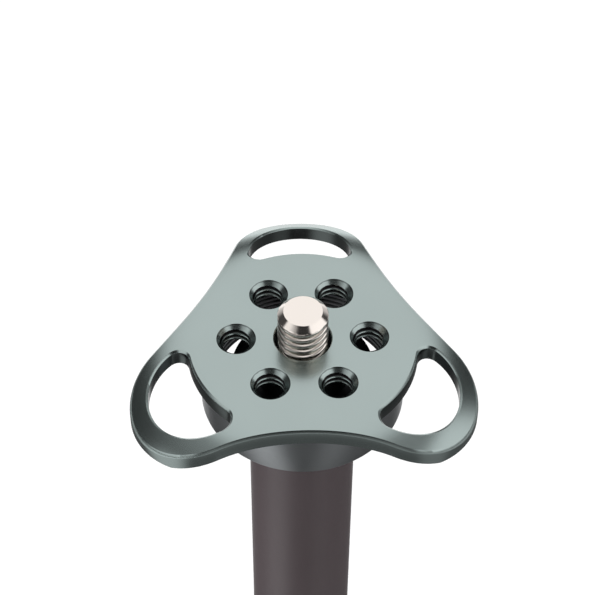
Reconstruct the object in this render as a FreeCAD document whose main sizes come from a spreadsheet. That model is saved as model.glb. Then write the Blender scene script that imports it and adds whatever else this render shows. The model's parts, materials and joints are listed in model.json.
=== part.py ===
import FreeCAD, Part
import math
import os
import re
import Sketcher

# A compact three-legged camera stand. Its centre column ends in a three-lobed mounting plate with a
# fixed stud, six tapped holes and three strap slots. Lengths are millimetres. The origin is the
# centre of the plate's top face, +Z is up, and one lobe points along +Y.

SIZES = {
    # mounting plate: a flat middle that turns into a dome towards the three lobes, whose tips are cut
    # flat underneath
    "plate_flat_r": "18.26",
    "plate_dome_r": "25.64",
    "plate_thick": "3.5",
    "lobe_r": "13.15",
    "lobe_out": "22.26",
    "waist_r": "21.88",
    "tip_flat_drop": "5.25",
    # strap slot in each lobe, bounded by an arc about the column and a larger arc near the tip
    "slot_in_r": "21.77",
    "slot_out_r": "10.09",
    "slot_out_at": "21.72",
    "slot_corner_r": "2.28",
    # six quarter-inch tapped holes and the clearance hole round the stud
    "tapped_ring_r": "12.5",
    "tapped_r": "2.6",
    "tapped_mouth_r": "3.72",
    "stud_hole_r": "5.4",
    # boss and rib under the plate, which take the column's head and the skirt
    "boss_r": "9.2",
    "boss_depth": "5.5",
    "rib_wall": "1.2",
    "rib_depth": "2.0",
    # skirt ring under the plate
    "skirt_r": "19.5",
    "skirt_bore_r": "17.75",
    "skirt_drop": "16.0",
    # head of the column: spigot, flange and plug
    "spigot_r": "6.4",
    "spigot_rise": "3.9",
    "flange_r": "13.7",
    "flange_thick": "5.0",
    "plug_len": "22.0",
    # three-eighths stud
    "stud_r": "4.7625",
    "stud_proud": "7.65",
    "stud_tip_r": "3.65",
    "stud_neck_r": "4.1",
    "stud_neck_len": "1.2",
    "stud_depth": "24.0",
    # column tube, with a guide groove along its back
    "column_r": "10.44",
    "column_wall": "1.5",
    "column_reach": "190.0",
    "groove_w": "3.0",
    "groove_depth": "0.6",
    "groove_from": "24.0",
    # lower end of the column and its swinging ring
    "cap_r": "12.4",
    "cap_thick": "5.0",
    "cap_plug_len": "12.0",
    "ear_w": "8.0",
    "ear_thick": "4.0",
    "ear_hole_r": "1.85",
    "ear_hole_drop": "6.0",
    "loop_r": "6.5",
    "loop_wire_r": "1.2",
    # shoulder casting, measured up and down from the leg hinges
    "hinge_out": "39.0",
    "hub_r": "22.8",
    "hub_above": "12.0",
    "hub_below": "17.0",
    "neck_r": "16.8",
    "neck_top": "27.0",
    "web_r": "11.6",
    "web_top": "4.0",
    "bush_r": "13.2",
    "bush_len": "14.0",
    "cam_r": "10.5",
    "wing_w": "11.0",
    "wing_root": "17.0",
    # column clamp
    "clamp_foot_r": "13.0",
    "clamp_head_r": "14.6",
    "clamp_lip_r": "15.8",
    "clamp_lip": "3.7",
    "clamp_slit": "1.2",
    "lock_r": "22.5",
    "lock_rise": "36.0",
    "lock_lip_r": "11.0",
    # leg hinge bolt and nut
    "bolt_r": "3.0",
    "bolt_head_r": "5.2",
    "bolt_head": "3.0",
    "bolt_end_r": "2.5",
    "bolt_hex_r": "2.3",
    "bolt_hex_depth": "1.8",
    # leg: lengths are measured from the hinge along the leg
    "leg_spread": "24.0",
    "leg_length": "360.0",
    "cheek_r": "11.0",
    "cheek_w": "22.0",
    "cheek_out": "15.1",
    "cheek_ear": "3.0",
    "socket_r": "14.6",
    "socket_top": "13.5",
    "socket_floor": "18.0",
    "socket_end": "42.0",
    # angle tab between the cheeks, and its spring
    "tab_in": "11.0",
    "tab_out": "15.0",
    "tab_low": "9.2",
    "tab_high": "2.8",
    "tab_ridge": "0.6",
    "tab_bore_r": "1.35",
    "tab_bore_top": "2.2",
    "spring_r": "0.9",
    "spring_wire_r": "0.2",
    "spring_pitch": "0.95",
    # telescopic tubes
    "upper_r": "13.0",
    "middle_r": "10.8",
    "lower_r": "8.6",
    "tube_wall": "1.2",
    "thread_rise": "0.9",
    "thread_len": "20.0",
    "middle_top": "44.0",
    "lower_top": "50.0",
    "shim_len": "20.0",
    "shim_inset": "2.0",
    "shim_split": "1.0",
    # twist locks
    "upper_lock_r": "16.0",
    "upper_lock_len": "34.0",
    "lower_lock_r": "13.8",
    "lower_lock_len": "32.0",
    "lock_lead": "2.0",
    "lock_lip": "1.5",
    "collet_drop": "0.7",
    "collet_taper": "0.9",
    "collet_slit": "1.0",
    # foot
    "foot_r": "10.0",
    "foot_len": "29.2",
    "foot_socket": "7.2",
    "foot_plug_len": "20.0",
    "foot_stud_r": "4.0",
    "foot_stud_len": "10.5",
    # clearances and edge breaks
    "fit_gap": "0.05",
    "slide_gap": "0.2",
    "turn_gap": "0.3",
    "stop_gap": "0.4",
    "edge": "0.6",
}

# Places worked out from the sizes above
PLACES = {
    "plate_under": "-plate_thick",
    "flange_top": "-(plate_thick + boss_depth)",
    "flange_under": "flange_top - flange_thick",
    "skirt_under": "-skirt_drop",
    "column_bore_r": "column_r - column_wall",
    "lock_top": "skirt_under - column_reach",
    "hinge_z": "lock_top - lock_rise",
    "hub_top": "hinge_z + hub_above",
    "hub_under": "hinge_z - hub_below",
    "neck_end": "hinge_z + neck_top",
    "web_under": "hub_under + bush_len",
    "clamp_foot": "hinge_z + web_top + turn_gap",
    "column_end": "hub_under - stop_gap",
    "cap_under": "column_end - cap_thick",
    "ear_hole_z": "cap_under - ear_hole_drop",
    "waist_arc_out": "(lobe_out^2 - (waist_r - lobe_r)^2) / (lobe_out - 2 * (waist_r - lobe_r))",
    "waist_arc_r": "waist_arc_out - waist_r",
    "dome_end_r": "lobe_out + lobe_r + 1",
    "dome_drop": "plate_dome_r - sqrt(plate_dome_r^2 - (dome_end_r - plate_flat_r)^2)",
    "tip_flat_r": "plate_flat_r + sqrt(plate_dome_r^2 - (plate_dome_r - tip_flat_drop)^2)",
    "corner_in": "slot_in_r + slot_corner_r",
    "corner_out": "slot_out_r - slot_corner_r",
    "corner_y": "(corner_in^2 - corner_out^2 + slot_out_at^2) / (2 * slot_out_at)",
    "corner_x": "sqrt(corner_in^2 - corner_y^2)",
    "foot_top": "leg_length - foot_len",
    "lower_lock_end": "foot_top - stop_gap",
    "lower_lock_start": "lower_lock_end - lower_lock_len",
    "upper_lock_end": "lower_lock_start - stop_gap",
    "upper_lock_start": "upper_lock_end - upper_lock_len",
    "upper_end": "upper_lock_start + lock_lead + thread_len",
    "middle_end": "lower_lock_start + lock_lead + thread_len",
    "lower_end": "foot_top + foot_socket",
    "cheek_in": "wing_w / 2 + turn_gap",
    "bolt_seat": "cheek_w / 2 + turn_gap",
}

LEGS = {"right": 30, "left": 150, "front": 270}
FUNCTIONS = {"sqrt", "cos", "sin"}

doc = FreeCAD.newDocument("CameraTripod")
sheet = doc.addObject("Spreadsheet::Sheet", "Sizes")
for row, (alias, cell) in enumerate(SIZES.items(), 1):
    sheet.set(f"A{row}", alias)
    sheet.set(f"B{row}", cell)
    sheet.setAlias(f"B{row}", alias)
doc.recompute()


def formula(words):
    """Turn a formula in plain size names into one that the document's objects understand."""

    def swap(match):
        name = match.group(0)
        if name in FUNCTIONS:
            return name
        if name in PLACES:
            return "(" + formula(PLACES[name]) + ")"
        return "Sizes." + name

    return re.sub(r"[a-z][a-z_]*", swap, str(words))


def number(words):
    return float(sheet.evalExpression(formula(words)))


def bind(thing, **settings):
    """Tie an object's properties to formulas."""
    for name, words in settings.items():
        thing.setExpression(name, formula(words))


def place(thing, x="0", y="0", z="0", turn="0", tilt="0", roll="0"):
    """Tie a placement: roll about X, then tilt about Y, then turn about Z, then move."""
    where = f"vector({formula(x)}; {formula(y)}; {formula(z)})"
    how = f"rotation({formula(turn)}; {formula(tilt)}; {formula(roll)})"
    thing.setExpression("Placement", f"placement({where}; {how})")


def on_leg(thing, azimuth):
    """Hang a piece, modelled about its hinge with the leg along -Z, on the shoulder."""
    place(
        thing,
        x=f"hinge_out * cos({azimuth})",
        y=f"hinge_out * sin({azimuth})",
        z="hinge_z",
        turn=azimuth,
        tilt="-leg_spread",
    )


def new_body(label):
    body = doc.addObject("PartDesign::Body", label)
    body.Label = label
    return body


def new_sketch(body, role):
    sketch = body.newObject("Sketcher::SketchObject", body.Name + "_sketch")
    planes = [part for part in body.Origin.OriginFeatures if part.Role == role]
    sketch.AttachmentSupport = (planes[0], [""])
    sketch.MapMode = "FlatFace"
    return sketch


def outline(sketch, corners):
    """Draw a closed outline. A corner is (x, y), or (x, y, radius) where an arc of that radius runs
    to the next corner: anticlockwise for a positive radius, clockwise for a negative one."""
    spots = [FreeCAD.Vector(number(corner[0]), number(corner[1]), 0) for corner in corners]
    starts, ends = [], []
    for index, corner in enumerate(corners):
        here, there = spots[index], spots[(index + 1) % len(spots)]
        first, last = 1, 2
        if len(corner) == 2:
            edge = sketch.addGeometry(Part.LineSegment(here, there), False)
        else:
            edge = sketch.addGeometry(short_arc(here, there, number(corner[2])), False)
            bound = sketch.addConstraint(
                Sketcher.Constraint("Radius", edge, abs(number(corner[2])))
            )
            size = corner[2].lstrip("-")
            sketch.setExpression(f"Constraints[{bound}]", formula(size))
            if corner[2].startswith("-"):
                first, last = 2, 1
        starts.append((edge, first))
        ends.append((edge, last))
    for index, corner in enumerate(corners):
        edge, point = starts[index]
        sketch.addConstraint(Sketcher.Constraint("Coincident", *ends[index - 1], edge, point))
        pin_down(sketch, edge, point, corner[0], "DistanceX", -2)
        pin_down(sketch, edge, point, corner[1], "DistanceY", -1)


def pin_down(sketch, edge, point, words, kind, axis):
    """Hold one coordinate of a corner, on the axis where it is nought."""
    if words == "0":
        sketch.addConstraint(Sketcher.Constraint("PointOnObject", edge, point, axis))
        return
    bound = sketch.addConstraint(
        Sketcher.Constraint(kind, -1, 1, edge, point, number(words))
    )
    sketch.setExpression(f"Constraints[{bound}]", formula(words))


def short_arc(here, there, radius):
    """The arc under half a circle from one point to another, anticlockwise if radius is positive."""
    middle = (here + there) * 0.5
    along = there - here
    rise = math.sqrt(max(radius**2 - (along.Length / 2) ** 2, 0.0))
    left = FreeCAD.Vector(-along.y, along.x, 0).normalize()
    centre = middle + left * math.copysign(rise, radius)
    first, last = (here, there) if radius > 0 else (there, here)
    angles = [math.atan2(spot.y - centre.y, spot.x - centre.x) for spot in (first, last)]
    if angles[1] < angles[0]:
        angles[1] += 2 * math.pi
    circle = Part.Circle(centre, FreeCAD.Vector(0, 0, 1), abs(radius))
    return Part.ArcOfCircle(circle, *angles)


def revolve(body, corners, kind="PartDesign::Revolution", axis_x=None):
    """Turn an outline of radius and height about Z, or about a line parallel to it at axis_x."""
    sketch = new_sketch(body, "XZ_Plane")
    axis = "V_Axis"
    if axis_x:
        centre = number(axis_x)
        line = sketch.addGeometry(
            Part.LineSegment(FreeCAD.Vector(centre, 0, 0), FreeCAD.Vector(centre, 5, 0)), True
        )
        sketch.addConstraint(Sketcher.Constraint("Vertical", line))
        sketch.addConstraint(Sketcher.Constraint("PointOnObject", line, 1, -1))
        sketch.addConstraint(Sketcher.Constraint("DistanceY", line, 1, line, 2, 5))
        pin_down(sketch, line, 1, axis_x, "DistanceX", -2)
        axis = "Axis0"
    outline(sketch, corners)
    turned = body.newObject(kind, body.Name + "_turned")
    turned.Profile = sketch
    turned.ReferenceAxis = (sketch, [axis])
    turned.Angle = 360
    return turned


def extrude(body, role, corners, depth, kind="PartDesign::Pad", both_ways=True):
    """Pad or pocket an outline, half of the depth to each side of its plane or all of it to one."""
    sketch = new_sketch(body, role)
    if isinstance(corners[0], str):
        circle_sketch(sketch, *corners)
    else:
        outline(sketch, corners)
    feature = body.newObject(kind, body.Name + "_flat")
    feature.Profile = sketch
    if both_ways:
        feature.SideType = "Symmetric"
    bind(feature, Length=depth)
    return feature


def circle_sketch(sketch, x, y, radius):
    spot = FreeCAD.Vector(number(x), number(y), 0)
    edge = sketch.addGeometry(Part.Circle(spot, FreeCAD.Vector(0, 0, 1), number(radius)), False)
    bound = sketch.addConstraint(Sketcher.Constraint("Radius", edge, number(radius)))
    sketch.setExpression(f"Constraints[{bound}]", formula(radius))
    pin_down(sketch, edge, 3, x, "DistanceX", -2)
    pin_down(sketch, edge, 3, y, "DistanceY", -1)


def repeat(body, features, count):
    """Repeat features evenly round the body's Z axis."""
    pattern = body.newObject("PartDesign::PolarPattern", body.Name + "_ring")
    pattern.Originals = features
    axes = [part for part in body.Origin.OriginFeatures if part.Role == "Z_Axis"]
    pattern.Axis = (axes[0], [""])
    pattern.Angle = 360
    pattern.Occurrences = count
    body.Tip = pattern


def turned_body(label, corners):
    body = new_body(label)
    revolve(body, corners)
    return body


def cylinder(name, radius, height, **where):
    solid = doc.addObject("Part::Cylinder", name)
    bind(solid, Radius=radius, Height=height)
    place(solid, **where)
    return solid


def block(name, length, width, height, **where):
    solid = doc.addObject("Part::Box", name)
    bind(solid, Length=length, Width=width, Height=height)
    place(solid, **where)
    return solid


def cut(label, base, *tools):
    """Take each tool away from the base in turn."""
    for index, tool in enumerate(tools):
        result = doc.addObject("Part::Cut", f"{label}_cut_{index}")
        result.Base = base
        result.Tool = tool
        base = result
    base.Label = label
    return base


def fuse(name, *solids):
    result = doc.addObject("Part::MultiFuse", name)
    result.Shapes = list(solids)
    return result


def lobe_corners():
    """The plate's outline: three lobe arcs joined by three long hollow arcs, tangent to them."""
    reach = "(waist_arc_r + lobe_r)"
    corners = []
    for lobe in (90, 210, 330):
        for side, radius in ((-60, "lobe_r"), (60, "-waist_arc_r")):
            spots = []
            for turn in ("cos", "sin"):
                middle = f"lobe_out * {turn}({lobe})"
                hollow = f"waist_arc_out * {turn}({lobe + side})"
                spots.append(f"{middle} + lobe_r / {reach} * ({hollow} - {middle})")
            corners.append((*spots, radius))
    return corners


def slot_corners():
    """One strap slot, in the lobe that points along +Y."""
    inner = "slot_in_r / corner_in"
    outer = "slot_out_r / corner_out"
    tip_y = f"slot_out_at + (corner_y - slot_out_at) * {outer}"
    return [
        (f"corner_x * {inner}", f"corner_y * {inner}", "slot_corner_r"),
        (f"corner_x * {outer}", tip_y, "slot_out_r"),
        ("0", "slot_out_at + slot_out_r", "slot_out_r"),
        (f"-corner_x * {outer}", tip_y, "slot_corner_r"),
        (f"-corner_x * {inner}", f"corner_y * {inner}", "-slot_in_r"),
    ]


def make_plate():
    """Top plate: outline, domed top and underside, strap slots, tapped holes and centre hole."""
    plate = new_body("mount_plate")
    depth = "plate_thick + boss_depth + dome_drop"
    pad = extrude(plate, "XY_Plane", lobe_corners(), depth, both_ways=False)
    pad.Reversed = True
    revolve(
        plate,
        [
            ("plate_flat_r", "0", "-plate_dome_r"),
            ("dome_end_r", "-dome_drop"),
            ("dome_end_r", "1"),
            ("plate_flat_r", "1"),
        ],
        "PartDesign::Groove",
    )
    rib_foot = "plate_under - rib_depth"
    rib_r = "skirt_bore_r - fit_gap"
    revolve(
        plate,
        [
            ("tip_flat_r", "plate_under - tip_flat_drop", "plate_dome_r"),
            ("plate_flat_r", "plate_under"),
            (rib_r, "plate_under"),
            (rib_r, rib_foot),
            (f"{rib_r} - rib_wall", rib_foot),
            (f"{rib_r} - rib_wall", "plate_under"),
            ("boss_r", "plate_under"),
            ("boss_r", "flange_top"),
            ("0", "flange_top"),
            ("0", "flange_top - dome_drop - 1"),
            ("dome_end_r", "flange_top - dome_drop - 1"),
            ("dome_end_r", "plate_under - tip_flat_drop"),
        ],
        "PartDesign::Groove",
    )
    through = "2 * (plate_thick + dome_drop)"
    slot = extrude(plate, "XY_Plane", slot_corners(), through, "PartDesign::Pocket")
    repeat(plate, [slot], 3)
    mouth = "tapped_mouth_r - tapped_r"
    tapped = revolve(
        plate,
        [
            ("tapped_ring_r", "0"),
            ("tapped_ring_r + tapped_mouth_r", "0"),
            ("tapped_ring_r + tapped_r", f"-({mouth})"),
            ("tapped_ring_r + tapped_r", "plate_under + edge"),
            ("tapped_ring_r + tapped_r + edge", "plate_under"),
            ("tapped_ring_r", "plate_under"),
        ],
        "PartDesign::Groove",
        "tapped_ring_r",
    )
    repeat(plate, [tapped], 6)
    revolve(
        plate,
        [
            ("0", "0"),
            ("stud_hole_r", "0"),
            ("stud_hole_r", "flange_top + spigot_rise + fit_gap"),
            ("spigot_r + fit_gap", "flange_top + spigot_rise + fit_gap"),
            ("spigot_r + fit_gap", "flange_top"),
            ("0", "flange_top"),
        ],
        "PartDesign::Groove",
    )
    return plate


def make_skirt():
    """Ring that hangs from the plate's rib, round the head of the column."""
    return turned_body(
        "plate_collar",
        [
            ("skirt_bore_r", "plate_under - fit_gap"),
            ("skirt_bore_r", "skirt_under + edge"),
            ("skirt_bore_r + edge", "skirt_under"),
            ("skirt_r - edge", "skirt_under"),
            ("skirt_r", "skirt_under + edge"),
            ("skirt_r", "plate_under - fit_gap"),
        ],
    )


def make_head():
    """Flanged head, glued into the top of the column, with a spigot that the plate screws onto."""
    return turned_body(
        "column_top_hub",
        [
            ("stud_r + fit_gap", "flange_top + spigot_rise"),
            ("spigot_r", "flange_top + spigot_rise"),
            ("spigot_r", "flange_top - fit_gap"),
            ("flange_r - edge", "flange_top - fit_gap"),
            ("flange_r", "flange_top - fit_gap - edge"),
            ("flange_r", "flange_under + edge"),
            ("flange_r - edge", "flange_under"),
            ("column_bore_r - fit_gap", "flange_under"),
            ("column_bore_r - fit_gap", "flange_under - plug_len"),
            ("stud_r + fit_gap", "flange_under - plug_len"),
        ],
    )


def make_stud():
    """Steel stud with a chamfered flat tip and a relief neck level with the plate's top."""
    bevel = "stud_r - stud_tip_r"
    return turned_body(
        "camera_stud",
        [
            ("0", "stud_proud"),
            ("stud_tip_r", "stud_proud"),
            ("stud_r", f"stud_proud - ({bevel})"),
            ("stud_r", "0"),
            ("stud_neck_r", "0"),
            ("stud_neck_r", "-stud_neck_len"),
            ("stud_r", "-stud_neck_len"),
            ("stud_r", "-stud_depth"),
            ("0", "-stud_depth"),
        ],
    )


def make_column():
    """Column tube with a shallow guide groove along its back."""
    length = "flange_under - column_end"
    outside = cylinder("column_outside", "column_r", length, z="column_end")
    inside = cylinder("column_inside", "column_bore_r", f"{length} + 2", z="column_end - 1")
    groove = block(
        "column_groove",
        "groove_w",
        "2 * groove_depth",
        f"{length} - groove_from",
        x="-groove_w / 2",
        y="column_r - groove_depth",
        z="column_end",
    )
    return cut("column_tube", outside, inside, groove)


def make_cap():
    """End cap that stops the column in the shoulder, with an ear for the swinging ring."""
    cap = turned_body(
        "column_end_cap",
        [
            ("0", "column_end + cap_plug_len"),
            ("column_bore_r - fit_gap", "column_end + cap_plug_len"),
            ("column_bore_r - fit_gap", "column_end"),
            ("cap_r", "column_end"),
            ("cap_r", "cap_under + edge"),
            ("cap_r - edge", "cap_under"),
            ("0", "cap_under"),
        ],
    )
    half = "ear_w / 2"
    extrude(
        cap,
        "YZ_Plane",
        [
            (f"-{half}", "cap_under + edge"),
            (f"-{half}", "ear_hole_z", half),
            ("0", f"ear_hole_z - {half}", half),
            (half, "ear_hole_z"),
            (half, "cap_under + edge"),
        ],
        "ear_thick",
    )
    extrude(cap, "YZ_Plane", ("0", "ear_hole_z", "ear_hole_r"), "2 * ear_thick", "PartDesign::Pocket")
    return cap


def make_loop():
    """Steel ring that swings in the cap's ear, for hanging a weight."""
    loop = doc.addObject("Part::Torus", "weight_ring")
    bind(loop, Radius1="loop_r", Radius2="loop_wire_r")
    place(loop, z="ear_hole_z - loop_r", roll="90")
    return loop


def make_shoulder():
    """Shoulder casting: bored hub with a threaded neck, and three wings for the leg hinges. The arm
    of a wing stays low, so that the angle tab has room there when its leg is folded up."""
    shoulder = turned_body(
        "shoulder",
        [
            ("neck_r", "neck_end"),
            ("neck_r", "hub_top"),
            ("hub_r - edge", "hub_top"),
            ("hub_r", "hub_top - edge"),
            ("hub_r", "hub_under + edge"),
            ("hub_r - edge", "hub_under"),
            ("bush_r + fit_gap", "hub_under"),
            ("bush_r + fit_gap", "web_under"),
            ("web_r", "web_under"),
            ("web_r", "hinge_z + web_top"),
            ("clamp_foot_r + fit_gap", "hinge_z + web_top"),
            ("clamp_head_r + fit_gap", "neck_end"),
        ],
    )
    arm_top = "tab_high + 2 * turn_gap"
    wing = extrude(
        shoulder,
        "XZ_Plane",
        [
            ("wing_root", "hinge_z - cam_r"),
            ("hinge_out", "hinge_z - cam_r", "cam_r"),
            ("hinge_out + cam_r", "hinge_z", "cam_r"),
            ("hinge_out", "hinge_z + cam_r", "cam_r"),
            ("hinge_out - cam_r", "hinge_z", "cam_r"),
            (f"hinge_out - sqrt(cam_r^2 - ({arm_top})^2)", f"hinge_z - ({arm_top})"),
            ("wing_root", f"hinge_z - ({arm_top})"),
        ],
        "wing_w",
    )
    hole = extrude(
        shoulder,
        "XZ_Plane",
        ("hinge_out", "hinge_z", "bolt_r + fit_gap"),
        "2 * wing_w",
        "PartDesign::Pocket",
    )
    repeat(shoulder, [wing, hole], len(LEGS))
    place(shoulder, turn=LEGS["right"])
    return shoulder


def make_bushing():
    """Plastic bushing in the foot of the shoulder, with a key that runs in the column's groove."""
    outside = cylinder("bushing_outside", "bush_r", "bush_len - fit_gap", z="hub_under")
    inside = cylinder("bushing_inside", "column_r + slide_gap", "bush_len + 2", z="hub_under - 1")
    sleeve = cut("bushing_sleeve", outside, inside)
    key = block(
        "bushing_key",
        "groove_w - 2 * slide_gap",
        "groove_depth + 1",
        "bush_len - fit_gap",
        x="-(groove_w / 2 - slide_gap)",
        y="column_r - groove_depth + slide_gap",
        z="hub_under",
    )
    bushing = fuse("column_bushing", sleeve, key)
    bushing.Label = "column_bushing"
    return bushing


def split_collet(label, corners, slit, low, high, side):
    """Tapered sleeve with one slit, towards +X or -X as side says, that its lock ring squeezes."""
    sleeve = turned_body(label + "_sleeve", corners)
    knife = block(
        label + "_knife",
        "3 * hub_r",
        slit,
        f"{high} - ({low}) + 2",
        y=f"{-side} * {slit} / 2",
        z=f"{low} - 1",
        turn=90 - 90 * side,
    )
    return cut(label, sleeve, knife)


def make_clamp():
    """Split clamp that the column's lock ring drives down into the tapered neck."""
    lip_foot = "neck_end + turn_gap"
    return split_collet(
        "column_collet",
        [
            ("column_r + slide_gap", "clamp_foot"),
            ("clamp_foot_r - fit_gap", "clamp_foot"),
            ("clamp_head_r - fit_gap", lip_foot),
            ("clamp_lip_r", lip_foot),
            ("clamp_lip_r", f"{lip_foot} + clamp_lip"),
            ("column_r + slide_gap", f"{lip_foot} + clamp_lip"),
        ],
        "clamp_slit",
        "clamp_foot",
        "neck_end + clamp_lip",
        1,
    )


def make_column_lock():
    """Ring that screws down the shoulder's neck onto the split clamp."""
    shelf = "neck_end + clamp_lip + 2 * turn_gap"
    return turned_body(
        "column_lock_ring",
        [
            ("neck_r + turn_gap", "hub_top + stop_gap"),
            ("lock_r - edge", "hub_top + stop_gap"),
            ("lock_r", "hub_top + stop_gap + edge"),
            ("lock_r", "lock_top - 2 * edge"),
            ("lock_r - 2 * edge", "lock_top"),
            ("lock_lip_r", "lock_top"),
            ("lock_lip_r", shelf),
            ("neck_r + turn_gap", shelf),
        ],
    )


def make_hinge_bolts():
    """Three shoulder bolts with hexagon sockets, one across each leg hinge."""
    bolts = []
    for leg, azimuth in LEGS.items():
        name = f"{leg}_bolt"
        shank = cylinder(name + "_shank", "bolt_r", "2 * bolt_seat", z="-bolt_seat")
        head = cylinder(name + "_head", "bolt_head_r", "bolt_head", z="bolt_seat")
        thread = cylinder(name + "_end", "bolt_end_r", "bolt_head", z="-bolt_seat - bolt_head")
        socket = doc.addObject("Part::Prism", name + "_hex")
        bind(socket, Circumradius="bolt_hex_r", Height="bolt_hex_depth + 1")
        place(socket, z="bolt_seat + bolt_head - bolt_hex_depth")
        bolt = cut(name, fuse(name + "_blank", shank, head, thread), socket)
        across_hinge(bolt, azimuth)
        bolts.append(bolt)
    return group("leg_hinge_bolts", bolts)


def make_hinge_nuts():
    """Round nuts on the bolts' threaded ends."""
    nuts = []
    for leg, azimuth in LEGS.items():
        name = f"{leg}_nut"
        outside = cylinder(name + "_outside", "bolt_head_r", "bolt_head", z="-bolt_seat - bolt_head")
        inside = cylinder(
            name + "_bore", "bolt_end_r + fit_gap", "bolt_head + 2", z="-bolt_seat - bolt_head - 1"
        )
        nut = cut(name, outside, inside)
        across_hinge(nut, azimuth)
        nuts.append(nut)
    return group("leg_hinge_nuts", nuts)


def across_hinge(thing, azimuth):
    """Lay a piece that is modelled along Z across one leg hinge."""
    place(
        thing,
        x=f"hinge_out * cos({azimuth})",
        y=f"hinge_out * sin({azimuth})",
        z="hinge_z",
        turn=azimuth,
        roll="-90",
    )


def group(label, solids):
    together = doc.addObject("Part::Compound", label)
    together.Links = solids
    together.Label = label
    return together


def make_bracket(leg, azimuth):
    """Leg head: two cheeks round the shoulder's wing, above a socket for the upper tube."""
    bracket = turned_body(
        f"{leg}_leg_bracket",
        [
            ("0", "-socket_top"),
            ("socket_r - edge", "-socket_top"),
            ("socket_r", "-socket_top - edge"),
            ("socket_r", "-socket_end + edge"),
            ("socket_r - edge", "-socket_end"),
            ("upper_r + fit_gap", "-socket_end"),
            ("upper_r + fit_gap", "-socket_floor"),
            ("0", "-socket_floor"),
        ],
    )
    ear_x = "sqrt(cheek_r^2 - cheek_ear^2)"
    extrude(
        bracket,
        "XZ_Plane",
        [
            ("-cheek_r", "-socket_top - 2 * edge"),
            ("cheek_out", "-socket_top - 2 * edge"),
            ("cheek_out", "cheek_ear - edge"),
            ("cheek_out - edge", "cheek_ear"),
            (ear_x, "cheek_ear", "cheek_r"),
            ("0", "cheek_r", "cheek_r"),
            ("-cheek_r", "0"),
        ],
        "cheek_w",
    )
    extrude(
        bracket,
        "XZ_Plane",
        [
            ("-2 * cheek_r", "-socket_top"),
            ("2 * cheek_r", "-socket_top"),
            ("2 * cheek_r", "2 * cheek_r"),
            ("-2 * cheek_r", "2 * cheek_r"),
        ],
        "2 * cheek_in",
        "PartDesign::Pocket",
    )
    extrude(bracket, "XZ_Plane", ("0", "0", "bolt_r + fit_gap"), "2 * cheek_w", "PartDesign::Pocket")
    on_leg(bracket, azimuth)
    return bracket


def make_tab(leg, azimuth):
    """Sliding tab that frees the leg to swing, ridged for the thumb, with a bore for its spring."""
    tab = new_body(f"{leg}_leg_angle_tab")
    corners = [("tab_in", "-tab_low"), ("tab_out", "-tab_low")]
    pitch = "2 * tab_ridge"
    for ridge in range(4):
        top = f"tab_high - {2 * (3 - ridge)} * tab_ridge"
        corners += [
            ("tab_out", f"{top} - {pitch}"),
            ("tab_out - tab_ridge", f"{top} - tab_ridge"),
        ]
    corners += [("tab_out", "tab_high"), ("tab_in", "tab_high")]
    extrude(tab, "XZ_Plane", corners, "2 * (cheek_in - turn_gap)")
    bore = "(tab_in + tab_out) / 2"
    revolve(
        tab,
        [
            (bore, "-tab_low"),
            (f"{bore} + tab_bore_r", "-tab_low"),
            (f"{bore} + tab_bore_r", "-tab_bore_top"),
            (bore, "-tab_bore_top"),
        ],
        "PartDesign::Groove",
        bore,
    )
    on_leg(tab, azimuth)
    return tab


def make_spring(leg, azimuth):
    """Coil spring that pushes the tab back up."""
    low = number("-socket_top + spring_wire_r + fit_gap")
    high = number("-tab_bore_top - spring_wire_r - fit_gap")
    foot = FreeCAD.Vector(number("(tab_in + tab_out) / 2"), 0, low)
    helix = Part.makeHelix(number("spring_pitch"), high - low, number("spring_r"))
    helix.translate(foot)
    start = foot + FreeCAD.Vector(number("spring_r"), 0, 0)
    ring = Part.makeCircle(number("spring_wire_r"), start, FreeCAD.Vector(0, 1, 0))
    spring = doc.addObject("Part::Feature", f"{leg}_leg_tab_spring")
    spring.Shape = Part.Wire(helix.Edges).makePipeShell([Part.Wire([ring])], True, True)
    on_leg(spring, azimuth)
    return spring


def make_leg_tube(label, radius, top, end, thread_start, azimuth):
    """Drawn tube with a thicker threaded end for its twist lock."""
    tube = turned_body(
        label,
        [
            (f"{radius} - tube_wall", f"-({top})"),
            (radius, f"-({top})"),
            (radius, f"-({thread_start})"),
            (f"{radius} + thread_rise", f"-({thread_start})"),
            (f"{radius} + thread_rise", f"-({end})"),
            (f"{radius} - tube_wall", f"-({end})"),
        ],
    )
    on_leg(tube, azimuth)
    return tube


def make_lower_tube(leg, azimuth):
    tube = turned_body(
        f"{leg}_leg_lower_tube",
        [
            ("lower_r - tube_wall", "-lower_top"),
            ("lower_r", "-lower_top"),
            ("lower_r", "-lower_end"),
            ("lower_r - tube_wall", "-lower_end"),
        ],
    )
    on_leg(tube, azimuth)
    return tube


def make_leg_lock(label, ring_r, outer_r, inner_r, start, finish, end, azimuth):
    """Twist lock ring: threaded bore above, tapered seat and lip below."""
    bore = f"{outer_r} + thread_rise + turn_gap"
    seat = f"{outer_r} + thread_rise - collet_drop + turn_gap"
    lip = f"-({finish} - lock_lip)"
    ring = turned_body(
        label,
        [
            (bore, f"-({start})"),
            (f"{ring_r} - edge", f"-({start})"),
            (ring_r, f"-({start} + edge)"),
            (ring_r, f"-({finish} - edge)"),
            (f"{ring_r} - edge", f"-({finish})"),
            (f"{inner_r} + turn_gap", f"-({finish})"),
            (f"{inner_r} + turn_gap", lip),
            (f"{seat} - collet_taper", lip),
            (seat, f"-({end} + turn_gap)"),
            (bore, f"-({end} + turn_gap)"),
        ],
    )
    on_leg(ring, azimuth)
    return ring


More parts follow.
